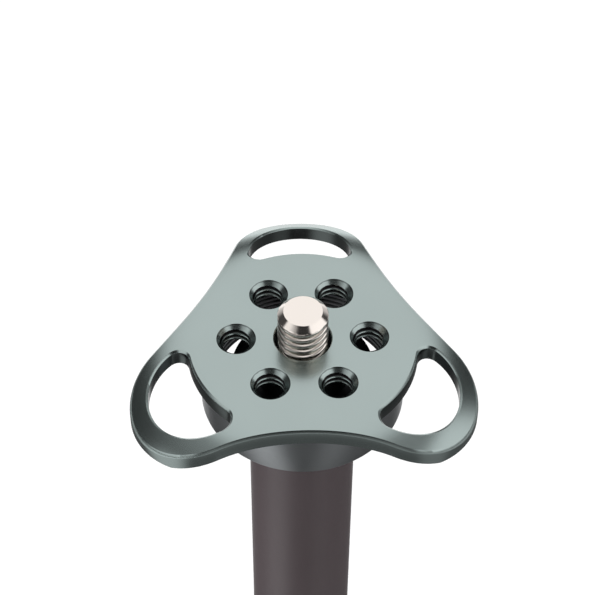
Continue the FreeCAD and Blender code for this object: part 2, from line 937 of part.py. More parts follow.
def make_leg_collet(label, outer_r, inner_r, finish, end, azimuth):
    """Split sleeve that the twist lock squeezes onto the inner tube."""
    top = f"-({end} + 2 * turn_gap)"
    low = f"-({finish} - lock_lip - turn_gap)"
    head = f"{outer_r} + thread_rise - collet_drop"
    collet = split_collet(
        label,
        [
            (f"{inner_r} + slide_gap", low),
            (f"{head} - collet_taper", low),
            (head, top),
            (f"{inner_r} + slide_gap", top),
        ],
        "collet_slit",
        low,
        top,
        -1,
    )
    on_leg(collet, azimuth)
    return collet


def make_shims(label, inner_r, outer_r, top, azimuth):
    """Two half shells round a tube's top end, which guide it and stop it from pulling out."""
    height = "shim_len"
    low = f"-({top} + shim_inset + shim_len)"
    outside = cylinder(label + "_outside", f"{outer_r} - tube_wall - slide_gap", height, z=low)
    inside = cylinder(label + "_inside", f"{inner_r} + fit_gap", f"{height} + 2", z=f"{low} - 1")
    split = block(
        label + "_split",
        "4 * upper_r",
        "shim_split",
        f"{height} + 2",
        x="-2 * upper_r",
        y="-shim_split / 2",
        z=f"{low} - 1",
    )
    shims = cut(label, outside, inside, split)
    on_leg(shims, azimuth)
    return shims


def make_foot_plug(leg, azimuth):
    """Plug in the lower tube's end, with the stud that the foot screws onto."""
    plug_r = "lower_r - tube_wall - fit_gap"
    plug = turned_body(
        f"{leg}_leg_foot_plug",
        [
            ("0", "-(lower_end - foot_plug_len)"),
            (plug_r, "-(lower_end - foot_plug_len)"),
            (plug_r, "-lower_end"),
            ("foot_stud_r", "-lower_end"),
            ("foot_stud_r", "-(lower_end + foot_stud_len)"),
            ("0", "-(lower_end + foot_stud_len)"),
        ],
    )
    on_leg(plug, azimuth)
    return plug


def make_foot(leg, azimuth):
    """Rubber foot with a round end, over the lower tube's end."""
    ball = "leg_length - foot_r"
    foot = turned_body(
        f"{leg}_leg_foot",
        [
            ("lower_r + fit_gap", "-foot_top"),
            ("foot_r - edge", "-foot_top"),
            ("foot_r", "-(foot_top + edge)"),
            ("foot_r", f"-({ball})", "-foot_r"),
            ("0", "-leg_length"),
            ("0", "-(lower_end + foot_stud_len + turn_gap)"),
            ("foot_stud_r + fit_gap", "-(lower_end + foot_stud_len + turn_gap)"),
            ("foot_stud_r + fit_gap", "-(lower_end + fit_gap)"),
            ("lower_r + fit_gap", "-(lower_end + fit_gap)"),
        ],
    )
    on_leg(foot, azimuth)
    return foot


def make_leg(leg, azimuth):
    """One whole leg, collapsed, hung at its first spread angle."""
    return [
        make_bracket(leg, azimuth),
        make_tab(leg, azimuth),
        make_spring(leg, azimuth),
        make_leg_tube(
            f"{leg}_leg_upper_tube",
            "upper_r",
            "socket_floor + fit_gap",
            "upper_end",
            "upper_lock_start + lock_lead",
            azimuth,
        ),
        make_leg_lock(
            f"{leg}_leg_upper_lock",
            "upper_lock_r",
            "upper_r",
            "middle_r",
            "upper_lock_start",
            "upper_lock_end",
            "upper_end",
            azimuth,
        ),
        make_leg_collet(
            f"{leg}_leg_upper_collet", "upper_r", "middle_r", "upper_lock_end", "upper_end", azimuth
        ),
        make_leg_tube(
            f"{leg}_leg_middle_tube",
            "middle_r",
            "middle_top",
            "middle_end",
            "lower_lock_start + lock_lead",
            azimuth,
        ),
        make_shims(f"{leg}_leg_middle_shims", "middle_r", "upper_r", "middle_top", azimuth),
        make_leg_lock(
            f"{leg}_leg_lower_lock",
            "lower_lock_r",
            "middle_r",
            "lower_r",
            "lower_lock_start",
            "lower_lock_end",
            "middle_end",
            azimuth,
        ),
        make_leg_collet(
            f"{leg}_leg_lower_collet", "middle_r", "lower_r", "lower_lock_end", "middle_end", azimuth
        ),
        make_lower_tube(leg, azimuth),
        make_shims(f"{leg}_leg_lower_shims", "lower_r", "middle_r", "lower_top", azimuth),
        make_foot_plug(leg, azimuth),
        make_foot(leg, azimuth),
    ]


pieces = [
    make_plate(),
    make_skirt(),
    make_head(),
    make_stud(),
    make_column(),
    make_cap(),
    make_loop(),
    make_shoulder(),
    make_bushing(),
    make_clamp(),
    make_column_lock(),
    make_hinge_bolts(),
    make_hinge_nuts(),
]
for leg, azimuth in LEGS.items():
    pieces += make_leg(leg, azimuth)

doc.recompute()

failed = [thing.Name for thing in doc.Objects if {"Invalid", "Error"} & set(thing.State)]
if failed:
    raise RuntimeError("these objects did not build: " + ", ".join(failed))
for piece in pieces:
    shape = piece.Shape
    if shape.isNull() or not shape.isValid() or not shape.Solids:
        raise RuntimeError(piece.Label + " has no sound solid")

os.makedirs("parts", exist_ok=True)
for piece in pieces:
    piece.Shape.exportStep(os.path.join("parts", piece.Label + ".step"))
    print(piece.Label, len(piece.Shape.Solids), round(piece.Shape.Volume, 1))
print("floor at", round(number("hinge_z - (leg_length - foot_r) * cos(leg_spread) - foot_r"), 3))
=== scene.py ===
import json
import math

import bmesh
import bpy
import numpy as np
from mathutils import Matrix, Vector
from mathutils.geometry import delaunay_2d_cdt


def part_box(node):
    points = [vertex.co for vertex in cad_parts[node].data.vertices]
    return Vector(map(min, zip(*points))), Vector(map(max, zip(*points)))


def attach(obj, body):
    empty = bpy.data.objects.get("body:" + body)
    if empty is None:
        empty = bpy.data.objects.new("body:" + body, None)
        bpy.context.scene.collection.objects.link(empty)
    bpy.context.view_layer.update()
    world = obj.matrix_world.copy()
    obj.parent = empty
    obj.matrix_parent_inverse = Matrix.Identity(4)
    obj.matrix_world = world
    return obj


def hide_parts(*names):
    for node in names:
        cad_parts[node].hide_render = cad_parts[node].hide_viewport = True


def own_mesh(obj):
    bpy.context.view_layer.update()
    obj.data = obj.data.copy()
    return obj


# A compact camera tripod, dressed for its picture. Shapes are worked out in millimetres in the row
# frame: the origin is the centre of the mounting plate's top face, +Z is up, one lobe points along +Y.
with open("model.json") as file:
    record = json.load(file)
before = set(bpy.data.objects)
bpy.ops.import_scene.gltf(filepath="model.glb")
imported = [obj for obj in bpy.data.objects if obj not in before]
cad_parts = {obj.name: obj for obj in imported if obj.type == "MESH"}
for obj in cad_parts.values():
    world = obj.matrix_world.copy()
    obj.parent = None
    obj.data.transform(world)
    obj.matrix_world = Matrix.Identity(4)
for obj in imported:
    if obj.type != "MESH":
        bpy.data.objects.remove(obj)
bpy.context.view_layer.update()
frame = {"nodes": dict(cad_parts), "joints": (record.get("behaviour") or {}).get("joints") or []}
joints = {joint["name"]: joint for joint in frame["joints"]}
MM = 0.001


# Camera: it stands in front of the plate and above it, and looks down at 49 degrees through a long
# lens. The place and the turns were fitted to the plate's edges and holes.
camera_at = Vector((-7.52, -224.67, 271.71)) * MM
camera_down, camera_roll, camera_turn = 49.178, 0.280, -1.653
camera = bpy.data.objects.new("camera", bpy.data.cameras.new("camera"))
camera.data.sensor_width = 36
camera.data.lens = 113.82
camera.data.clip_start = 10 * MM
camera.matrix_world = (
    Matrix.Translation(camera_at)
    @ Matrix.Rotation(math.radians(camera_turn), 4, "Z")
    @ Matrix.Rotation(math.radians(90 - camera_down), 4, "X")
    @ Matrix.Rotation(math.radians(camera_roll), 4, "Z")
)
bpy.context.collection.objects.link(camera)
bpy.context.scene.camera = camera
bpy.context.scene.view_settings.view_transform = "Standard"


# Studio: a white room and floor for the eye, three soft lamps and a faint shadow under the feet. The
# metal mirrors a darker room instead, with soft bright patches above, behind and at both sides.
def node(tree, kind, inputs=None, **settings):
    """Add a shader node. Inputs maps a socket's name or number to a value or to a node's output."""
    made = tree.nodes.new(kind)
    for name, value in settings.items():
        setattr(made, name, value)
    for name, value in (inputs or {}).items():
        if isinstance(value, bpy.types.NodeSocket):
            tree.links.new(value, made.inputs[name])
        else:
            made.inputs[name].default_value = value
    return made


def maths(tree, operation, *values):
    """The output of one Math node, or of a Vector Math node for a length or a dot product."""
    kind = "ShaderNodeVectorMath" if operation in ("LENGTH", "DOT_PRODUCT") else "ShaderNodeMath"
    made = node(tree, kind, dict(enumerate(values)), operation=operation)
    return made.outputs["Value"]


def ramp(tree, value, low, high, start, end, smooth=False):
    """The output of a Map Range node: it goes from start to end as the value goes from low to high."""
    shape = "SMOOTHSTEP" if smooth else "LINEAR"
    ends = {0: value, 1: low, 2: high, 3: start, 4: end}
    return node(tree, "ShaderNodeMapRange", ends, interpolation_type=shape).outputs[0]


def level_part(tree, vector):
    """A vector's part along the floor and its upright part, as node outputs."""
    parts = node(tree, "ShaderNodeSeparateXYZ", {0: vector}).outputs
    return node(tree, "ShaderNodeCombineXYZ", {0: parts["X"], 1: parts["Y"]}).outputs[0], parts["Z"]


def seen_directly(tree):
    """Two outputs: 1 for a ray from the eye or one that metal or glass sends on, 0 for light that
    falls; and 1 for a ray straight from the eye."""
    path = node(tree, "ShaderNodeLightPath").outputs
    either = maths(tree, "MAXIMUM", path["Is Camera Ray"], path["Is Glossy Ray"])
    return maths(tree, "MAXIMUM", either, path["Is Transmission Ray"]), path["Is Camera Ray"]


def bright_spot(tree, direction, azimuth, elevation, inner, outer, strength):
    """A soft-edged round patch of light round the studio: full inside one angle from its middle, and
    gone past another. Azimuth 0 is behind the tripod, and 90 to its right."""
    azimuth, elevation, inner, outer = [math.radians(value) for value in (azimuth, elevation, inner, outer)]
    level = math.cos(elevation)
    middle = (math.sin(azimuth) * level, math.cos(azimuth) * level, math.sin(elevation))
    toward = maths(tree, "DOT_PRODUCT", direction, middle)
    return ramp(tree, toward, math.cos(outer), math.cos(inner), 0, strength, smooth=True)


def bright_panel(tree, azimuth, elevation, middle, reach, soft, low, high, strength):
    """A soft-edged upright panel of light: as far as its reach to both sides of an azimuth, and from one
    elevation to another, in degrees. The azimuth and elevation handed in are node outputs in radians."""
    middle, reach, soft, low, high = [math.radians(value) for value in (middle, reach, soft, low, high)]
    aside = maths(tree, "ABSOLUTE", maths(tree, "SUBTRACT", azimuth, middle))
    level = strength
    for value, gone, full in (
        (aside, reach + soft, reach - soft),
        (elevation, high + soft, high - soft),
        (elevation, low - soft, low + soft),
    ):
        level = maths(tree, "MULTIPLY", ramp(tree, value, gone, full, 0, 1, smooth=True), level)
    return level


world = bpy.data.worlds.new("studio")
world.use_nodes = True
bpy.context.scene.world = world
air = world.node_tree
air.nodes.clear()
direction = node(air, "ShaderNodeTexCoord").outputs["Generated"]
way = node(air, "ShaderNodeSeparateXYZ", {0: direction}).outputs
azimuth = maths(air, "ARCTAN2", way["X"], way["Y"])
elevation = maths(air, "ARCSINE", way["Z"])
fill_level, eye_level = 0.6, 1.25
# Spots: azimuth, elevation, full within, gone past, strength.
# Panels: azimuth, reach to both sides, softness, lowest and highest elevation, strength.
ceiling = bright_spot(air, direction, 0, 60, 25, 44, 1.31)
ceiling_foot = bright_spot(air, direction, 0, 36, 9, 26, 1.31)
overhead = bright_spot(air, direction, 180, 74, 10, 28, 1.1)
right_wing = bright_panel(air, azimuth, elevation, 113, 37, 5, 3, 42, 1.44)
left_wing = bright_panel(air, azimuth, elevation, -124, 28, 5, 3, 36, 1.25)
front_glow = bright_spot(air, direction, 180, -4, 12, 27, 0.42)
shade = bright_spot(air, direction, 180, 40, 10, 30, -0.85)
room = ramp(air, way["Z"], 0.5, 0.8, 0.07, 0.42)
low_part = ramp(air, way["Z"], 0.16, -0.3, 0, 1.35)
back_part = ramp(air, way["Y"], 0.30, 0.62, 0, 1)
backdrop = maths(air, "MULTIPLY", low_part, back_part)
mirrored = maths(air, "MULTIPLY", maths(air, "ADD", shade, 1.0), room)
for light in (ceiling, ceiling_foot, overhead, front_glow, right_wing, left_wing, backdrop):
    mirrored = maths(air, "MAXIMUM", light, mirrored)
seen, by_eye = seen_directly(air)
level = node(air, "ShaderNodeMix", {0: seen, 2: fill_level, 3: mirrored}, data_type="FLOAT")
level = node(air, "ShaderNodeMix", {0: by_eye, 2: level.outputs[0], 3: eye_level}, data_type="FLOAT")
background = node(air, "ShaderNodeBackground", {"Strength": level.outputs[0]})
node(air, "ShaderNodeOutputWorld", {"Surface": background.outputs[0]})


def soft_lamp(name, spot, aim, width, depth, watts):
    """A rectangular soft lamp at one spot, turned to face another."""
    lamp = bpy.data.objects.new(name, bpy.data.lights.new(name, "AREA"))
    lamp.data.shape = "RECTANGLE"
    lamp.data.size = width
    lamp.data.size_y = depth
    lamp.data.energy = watts
    lamp.location = spot
    lamp.rotation_euler = (Vector(aim) - Vector(spot)).to_track_quat("-Z", "Y").to_euler()
    lamp.visible_glossy = False
    bpy.context.collection.objects.link(lamp)


soft_lamp("top_lamp", (-0.25, 0.35, 0.95), (0, 0, 0), 0.9, 0.7, 9)
soft_lamp("left_lamp", (-1.1, -0.25, 0.35), (0, 0, -0.1), 0.35, 0.9, 5)
soft_lamp("right_lamp", (1.1, -0.25, 0.35), (0, 0, -0.1), 0.35, 0.9, 2)

floor_z = min(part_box(name)[0].z for name in frame["nodes"])
floor_reach = 6.0
floor_ways = ((-1, -1), (1, -1), (1, 1), (-1, 1))
floor_corners = [(x * floor_reach, y * floor_reach, floor_z) for x, y in floor_ways]
floor_mesh = bpy.data.meshes.new("floor")
floor_mesh.from_pydata(floor_corners, [], [(0, 1, 2, 3)])
floor = bpy.data.objects.new("floor", floor_mesh)
bpy.context.collection.objects.link(floor)
paper = bpy.data.materials.new("paper")
paper.use_nodes = True
sheet = paper.node_tree
sheet.nodes.clear()
on_floor = level_part(sheet, node(sheet, "ShaderNodeTexCoord").outputs["Object"])[0]
outwards = node(sheet, "ShaderNodeVectorMath", {0: on_floor}, operation="NORMALIZE").outputs[0]
from_middle = maths(sheet, "LENGTH", on_floor)
# Painted light: in the metal's reflections the floor glows, brighter far out and in soft patches behind and
# at both sides
mirror_level = ramp(sheet, from_middle, 0.9, 2.2, 0.125, 0.6)
for toward, inner, outer, strength in ((0, 16, 39, 0.86), (-123, 4, 36, 0.58), (138, 4, 27, 0.15)):
    lit_side = bright_spot(sheet, outwards, toward, 0, inner, outer, strength)
    mirror_level = maths(sheet, "ADD", lit_side, mirror_level)
mirror = node(sheet, "ShaderNodeEmission", {"Strength": mirror_level})
lit = node(sheet, "ShaderNodeBsdfDiffuse", {"Color": (0.55, 0.55, 0.55, 1)})
glow = node(sheet, "ShaderNodeEmission", {"Strength": ramp(sheet, from_middle, 0.5, 2.5, 0.55, 0.7)})
bright = node(sheet, "ShaderNodeAddShader", {0: lit.outputs[0], 1: glow.outputs[0]})
dull = node(sheet, "ShaderNodeBsdfDiffuse", {"Color": (0.8, 0.8, 0.8, 1)})
seen, by_eye = seen_directly(sheet)
other = node(sheet, "ShaderNodeMixShader", {0: seen, 1: dull.outputs[0], 2: mirror.outputs[0]})
both = node(sheet, "ShaderNodeMixShader", {0: by_eye, 1: other.outputs[0], 2: bright.outputs[0]})
node(sheet, "ShaderNodeOutputMaterial", {"Surface": both.outputs[0]})
floor_mesh.materials.append(paper)


# Camera stud: a stainless three-eighths stud with a coarse 60 degree thread, which runs out under a
# polished bevel and a turned flat tip. It is screwed into the column's head.
stud_major, stud_minor, stud_pitch = 4.7625, 3.86, 1.5875
stud_tip_r, stud_proud, stud_low = 3.65, 7.65, -24.0
thread_crest, thread_root = 0.14, 0.2
fade_start, fade_length, stud_root_below, stud_root_steep = 0.45, 0.4, 0.375, 2
steps_a_pitch, stud_around, disc_rings, tiny = 16, 96, 4, 1e-9


def thread_height(turns):
    """How far up the V of a thread a place is, from 0 in the root to 1 on the crest: a triangle wave
    of the place in pitches, cut flat at both ends."""
    wave = np.abs(2 * (turns % 1) - 1)
    return np.clip((wave - thread_root) / (1 - thread_root - thread_crest), 0, 1)


def root_shade(crest, below, steep):
    """How much painted shade a thread gets at a place: nothing down to a share of the crest's height, and
    then more.
    """
    return np.clip((below - crest) * steep, 0, 1)


def helical_grid(pitch, low, top, around):
    """Angles and heights of a grid whose rows climb one pitch a turn, so that rows follow the crests:
    height = pitch * (row + angle / full turn), held between low and top. Also each row's place."""
    rows = np.arange(math.floor(low / pitch) - 1, math.ceil(top / pitch) + 1 + tiny, 1 / steps_a_pitch)
    angle = np.linspace(0, 2 * math.pi, around + 1)
    height = pitch * (rows[:, None] + angle / (2 * math.pi))
    angle, turns = np.broadcast_arrays(angle, rows[:, None])
    return angle, np.clip(height, low, top), turns


def ring_points(radius, angle, height, x=0.0, y=0.0):
    """Points at a radius, an angle and a height about an upright axis."""
    spots = np.broadcast_arrays(x + radius * np.cos(angle), y + radius * np.sin(angle), height)
    return np.stack(spots, -1)


def grid_faces(rows, columns, close_rows, close_columns):
    """Corner numbers of the quads of a grid, as one array."""
    row, column = np.meshgrid(
        np.arange(rows if close_rows else rows - 1),
        np.arange(columns if close_columns else columns - 1),
        indexing="ij",
    )
    after, beside = (row + 1) % rows, (column + 1) % columns
    corners = [
        row * columns + column,
        row * columns + beside,
        after * columns + beside,
        after * columns + column,
    ]
    return np.stack(corners, -1).reshape(-1, 4)


def patch(points, close_rows=False, close_columns=False, mask=None):
    """A surface patch: its points, its quads and a mask per point, such as how much painted shade a
    thread's root gets.
    """
    rows, columns = points.shape[:2]
    faces = grid_faces(rows, columns, close_rows, close_columns)
    mask = np.zeros((rows, columns)) if mask is None else np.broadcast_to(mask, (rows, columns))
    return points.reshape(-1, 3), faces.tolist(), mask.reshape(-1)


def leg_place(leg):
    """Where a leg hangs: its hinge, and its own axes as columns: outwards, across the hinge, and up
    the leg."""
    across = -np.array(joints[f"{leg}_leg_swing"]["axis"])
    up = -np.array(joints[f"{leg}_middle_slide"]["axis"])
    return np.array(joints[f"{leg}_leg_swing"]["pos_m"]), np.stack([np.cross(across, up), across, up], 1)


weld_gap, sliver = 0.0015 * MM, 0.0005 * MM


def build(name, patches, sharp=28.0, leg=None):
    """One closed mesh from patches in millimetres: seams are merged, faces turned outwards, and edges
    sharper than the given angle shaded sharp. A leg's piece is worked out about its hinge with the leg
    along -Z, and keeps those places in an attribute for its patterns."""
    starts = np.cumsum([0] + [len(points) for points, patch_faces, mask in patches])
    corners = np.concatenate([points for points, patch_faces, mask in patches]) * MM
    faces = [
        [corner + start for corner in face]
        for start, (points, patch_faces, mask) in zip(starts.tolist(), patches)
        for face in patch_faces
    ]
    mesh = bpy.data.meshes.new(name)
    if leg:
        hinge, axes = leg_place(leg)
        mesh.from_pydata(corners @ axes.T + hinge, [], faces)
    else:
        mesh.from_pydata(corners, [], faces)
    own = mesh.attributes.new("local", "FLOAT_VECTOR", "POINT")
    own.data.foreach_set("vector", corners.astype(np.float32).reshape(-1))
    layer = mesh.attributes.new("mask", "FLOAT", "POINT")
    masks = np.concatenate([mask for points, patch_faces, mask in patches])
    layer.data.foreach_set("value", masks.astype(np.float32))
    shell = bmesh.new()
    shell.from_mesh(mesh)
    bmesh.ops.remove_doubles(shell, verts=shell.verts, dist=weld_gap)
    bmesh.ops.dissolve_degenerate(shell, edges=shell.edges, dist=sliver)
    bmesh.ops.recalc_face_normals(shell, faces=shell.faces)
    shell.to_mesh(mesh)
    shell.free()
    mesh.polygons.foreach_set("use_smooth", np.ones(len(mesh.polygons), bool))
    mesh.set_sharp_from_angle(angle=math.radians(sharp))
    piece = bpy.data.objects.new(name, mesh)
    bpy.context.collection.objects.link(piece)
    return piece


def dress(piece, material, slot, body, *nodes):
    """Give a piece its material, and let it ride in place of its CAD nodes. The slot is not used."""
    piece.data.materials.append(material)
    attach(piece, body)
    if nodes:
        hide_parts(*nodes)


def disc(radius, around, height):
    """A flat round face about the tripod's axis, as a grid from its rim to its middle."""
    angle = np.linspace(0, 2 * math.pi, around + 1)
    rims = np.linspace(radius, 0, disc_rings + 1)[:, None]
    return patch(ring_points(rims, angle[None, :], height))


def new_group(name, inputs, outputs):
    """A shader node group with named sockets: number inputs with their usual values, a vector where
    the value is None."""
    group = bpy.data.node_groups.new(name, "ShaderNodeTree")
    for label, value in inputs.items():
        kind = "NodeSocketVector" if value is None else "NodeSocketFloat"
        socket = group.interface.new_socket(label, in_out="INPUT", socket_type=kind)
        if value is not None:
            socket.default_value = value
    for label in outputs:
        group.interface.new_socket(label, in_out="OUTPUT", socket_type="NodeSocketFloat")
    return group, group.nodes.new("NodeGroupInput").outputs, group.nodes.new("NodeGroupOutput")


# Shared effect: fine uneven grain, such as blasting or moulding leaves, from two sizes of noise
grain_sockets = {"Vector": None, "Scale": 900.0, "Patches": 60.0}
grain, grain_in, grain_out = new_group("grain", grain_sockets, ("Fine", "Broad"))
for label, scale, detail in (("Fine", "Scale", 3.0), ("Broad", "Patches", 2.0)):
    size = {"Vector": grain_in["Vector"], "Scale": grain_in[scale], "Detail": detail}
    grain.links.new(node(grain, "ShaderNodeTexNoise", size).outputs["Fac"], grain_out.inputs[label])

# Shared effect: wear where the surface turns sharply, broken up by noise
wear_width, wear_steep = 0.25 * MM, 8.0
wear_sockets = {"Vector": None, "Width": 0.0003, "Amount": 0.5}
wear, wear_in, wear_out = new_group("edge_wear", wear_sockets, ("Mask",))
true_normal = node(wear, "ShaderNodeNewGeometry").outputs["Normal"]
round_normal = node(wear, "ShaderNodeBevel", {"Radius": wear_in["Width"]}, samples=4).outputs["Normal"]
agreement = maths(wear, "DOT_PRODUCT", true_normal, round_normal)
turned_away = maths(wear, "MULTIPLY", maths(wear, "SUBTRACT", 1.0, agreement), wear_steep)
patchy = node(wear, "ShaderNodeTexNoise", {"Vector": wear_in["Vector"], "Scale": 400.0, "Detail": 4.0})
worn = maths(wear, "MULTIPLY", turned_away, patchy.outputs["Fac"])
worn = maths(wear, "MULTIPLY", worn, wear_in["Amount"])
wear.links.new(maths(wear, "MINIMUM", worn, 1.0), wear_out.inputs["Mask"])

# Shared effect: the fine rings that turning leaves round an upright axis, on flats and walls alike
lathe, lathe_in, lathe_out = new_group("turning_marks", {"Vector": None, "Scale": 4000.0}, ("Height",))
across_axis, along_axis = level_part(lathe, lathe_in["Vector"])
along_both = maths(lathe, "ADD", maths(lathe, "LENGTH", across_axis), along_axis)
line = node(lathe, "ShaderNodeCombineXYZ", {0: maths(lathe, "MULTIPLY", along_both, lathe_in["Scale"])})
rings = node(lathe, "ShaderNodeTexNoise", {"Vector": line.outputs[0], "Scale": 1.0, "Detail": 2.0})
lathe.links.new(rings.outputs["Fac"], lathe_out.inputs["Height"])
gloss_sway = 0.12


def placed(tree, group, **inputs):
    """The outputs of a shader group set in a tree."""
    return node(tree, "ShaderNodeGroup", inputs, node_tree=group).outputs


def mixed(tree, share, paint, colour):
    """The paint where the share is 0, passing into a plain colour where it is 1."""
    ends = {0: share, 6: paint, 7: (*colour, 1)}
    return node(tree, "ShaderNodeMix", ends, data_type="RGBA").outputs[2]


def finish_coat(name, colour, rough, metal, grain_size=900.0, grain_depth=0.02, tone=0.06, edge=0.0,
                worn_colour=None, marks=0.0, mark_scale=4000.0, painted_shade_colour=None, **more):
    """A worn coat: grain moves its tone, gloss and surface, edges are worn to another colour, turned
    parts have fine rings, and the piece's mask paints shade into it in a dark shade colour."""
    material = bpy.data.materials.new(name)
    material.use_nodes = True
    tree = material.node_tree
    surface = tree.nodes["Principled BSDF"]
    spot = node(tree, "ShaderNodeAttribute", attribute_name="local").outputs["Vector"]
    noise = placed(tree, grain, Vector=spot, Scale=grain_size)
    tint = ramp(tree, noise["Broad"], 0, 1, 1 - tone, 1 + tone)
    paint = node(tree, "ShaderNodeVectorMath", {0: colour, "Scale": tint}, operation="SCALE").outputs[0]
    if edge:
        bare = placed(tree, wear, Vector=spot, Width=wear_width, Amount=edge)["Mask"]
        paint = mixed(tree, bare, paint, worn_colour)
    # Painted shade: where the mask is set, the paint passes into the dark shade colour
    if painted_shade_colour:
        depth = node(tree, "ShaderNodeAttribute", attribute_name="mask").outputs["Fac"]
        paint = mixed(tree, depth, paint, painted_shade_colour)
    tree.links.new(paint, surface.inputs["Base Color"])
    gloss = ramp(tree, noise["Fine"], 0, 1, rough * (1 - gloss_sway), rough * (1 + gloss_sway))
    tree.links.new(gloss, surface.inputs["Roughness"])
    height = maths(tree, "MULTIPLY", noise["Fine"], grain_depth)
    if marks:
        rings = placed(tree, lathe, Vector=spot, Scale=mark_scale)["Height"]
        height = maths(tree, "ADD", height, maths(tree, "MULTIPLY", rings, marks))
    relief = node(tree, "ShaderNodeBump", {"Height": height, "Distance": 1 * MM})
    tree.links.new(relief.outputs["Normal"], surface.inputs["Normal"])
    surface.inputs["Metallic"].default_value = metal
    for socket, value in more.items():
        surface.inputs[socket.replace("_", " ")].default_value = value
    return material


# The steel's shade colour is painted into the stud's thread roots
steel = finish_coat("machined_steel", (0.87, 0.805, 0.75), 0.14, 1.0, tone=0.04, grain_depth=0.002,
                    marks=0.004, mark_scale=5200.0, painted_shade_colour=(0.34, 0.28, 0.24))

angle, height, turns = helical_grid(stud_pitch, stud_low, stud_proud, stud_around)
bevel_foot = stud_proud - (stud_major - stud_tip_r)
runs_out = np.clip((height - bevel_foot + fade_start) / fade_length, 0, 1)
rolled = np.sin(math.pi / 2 * thread_height(turns))
crest = np.maximum(rolled, runs_out)
radius = stud_minor + (stud_major - stud_minor) * crest
bevel = stud_tip_r + (stud_proud - height)
foot_bevel = stud_minor + (height - stud_low)
radius = np.minimum(radius, np.minimum(bevel, foot_bevel))
# Painted shade: the thread's roots and lower flanks darken towards the steel's shade colour
painted_shade = root_shade(crest, stud_root_below, stud_root_steep) * (radius < bevel)
stud = build("camera_stud_steel", [
    patch(ring_points(radius, angle, height), mask=painted_shade),
    disc(stud_tip_r, stud_around, stud_proud),
    disc(stud_minor, stud_around, stud_low),
])
dress(stud, steel, "steel", "column", "camera_stud")


# Mounting plate: machined from aluminium, flat in the middle and domed out to three lobes, with a
# strap slot in each lobe, six tapped quarter-inch holes, broken edges and a satin grey-green coat.
flat_r, dome_r, plate_thick, tip_flat = 18.26, 25.64, 3.5, -8.75
lobe_r, lobe_out, waist_r = 13.15, 22.26, 21.88
slot_in_r, slot_out_r, slot_out_at, slot_corner_r = 21.77, 10.09, 21.72, 2.28
tapped_ring_r, tapped_major, tapped_minor, tapped_pitch = 12.5, 3.175, 2.6, 1.27
tapped_mouth_r, tapped_under_r, first_crest, far_side_turn = 3.72, 2.85, -1.87, 0.25
stud_hole_r, spigot_r, spigot_top = 5.4, 6.45, -5.05
boss_r, boss_low, rib_r, rib_wall, rib_low = 9.2, -9.0, 17.7, 1.2, -5.5
top_break, under_break, small_break, break_ease = 0.42, 0.1, 0.2, 0.05
slot_wall_shade, rim_line_low, rim_line_top, rim_line_dark = 0.7, -0.19, -0.01, 0.5
root_from_top, root_from_under, hole_root_below, hole_root_steep = 0.75, 0.25, 0.9, 3
path_step, fill_step, least_on_arc, least_on_ring, batch, same_spot = 0.4, 0.75, 3, 12, 200, 1e-6
hole_around, axis_around = 72, 96


def dome_drop(x, y):
    """How far the dome has fallen at a place: nothing on the flat, then an arc of one radius."""
    past = np.maximum(np.hypot(x, y) - flat_r, 0)
    return dome_r - np.sqrt(dome_r**2 - past**2)


def underside(x, y):
    """Height of the plate's underside at a place: the same dome, cut flat under the lobes' tips."""
    return np.maximum(-dome_drop(x, y) - plate_thick, tip_flat)


def arc_chain(arcs):
    """Points and outward directions along a chain of arcs. An arc is its centre, its radius, its first
    and last angle in degrees, and 1 if metal lies inside it, -1 if outside."""
    points, outward = [], []
    for centre, radius, first, last, side in arcs:
        count = max(least_on_arc, round(math.radians(abs(last - first)) * radius / path_step))
        angle = np.radians(np.linspace(first, last, count, endpoint=False))
        spoke = np.stack([np.cos(angle), np.sin(angle)], 1)
        points.append(np.array(centre) + radius * spoke)
        outward.append(side * spoke)
    return np.concatenate(points), np.concatenate(outward)


def about(distance, degrees):
    """A point at a distance from the axis, in the direction of an angle."""
    return distance * math.cos(math.radians(degrees)), distance * math.sin(math.radians(degrees))


# The outline is lobe arcs joined by hollow arcs that are tangent to them. A strap slot is an arc about
# the column and a larger one near the lobe's tip, joined by two corner arcs.
step_in = waist_r - lobe_r
waist_arc_out = (lobe_out**2 - step_in**2) / (lobe_out - 2 * step_in)
waist_arc_r = waist_arc_out - waist_r
hollow = about(waist_arc_out, 30)
lobe_half = 90 - math.degrees(math.atan2(hollow[1] - lobe_out, hollow[0]))
hollow_half = lobe_half - 60
corner_in, corner_out = slot_in_r + slot_corner_r, slot_out_r - slot_corner_r
corner_y = (corner_in**2 - corner_out**2 + slot_out_at**2) / (2 * slot_out_at)
corner_x = math.sqrt(corner_in**2 - corner_y**2)
corner_at = math.hypot(corner_x, corner_y)
lean = 90 - math.degrees(math.atan2(corner_y, corner_x))
spread_half = 90 - math.degrees(math.atan2(corner_y - slot_out_at, corner_x))

outline_arcs, slot_loops = [], []
for lobe in (90, 210, 330):
    hollow_at = about(waist_arc_out, lobe + 60)
    facing = lobe + 60 + 180
    outline_arcs += [
        (about(lobe_out, lobe), lobe_r, lobe - lobe_half, lobe + lobe_half, 1),
        (hollow_at, waist_arc_r, facing + hollow_half, facing - hollow_half, -1),
    ]
    slot_loops.append(arc_chain([
        ((0, 0), slot_in_r, lobe + lean, lobe - lean, 1),
        (about(corner_at, lobe - lean), slot_corner_r, lobe - lean - 180, lobe - spread_half, -1),
        (about(slot_out_at, lobe), slot_out_r, lobe - spread_half, lobe + spread_half, -1),
        (about(corner_at, lobe + lean), slot_corner_r, lobe + spread_half, lobe + lean + 180, -1),
    ]))
edge_loops = [arc_chain(outline_arcs)] + slot_loops


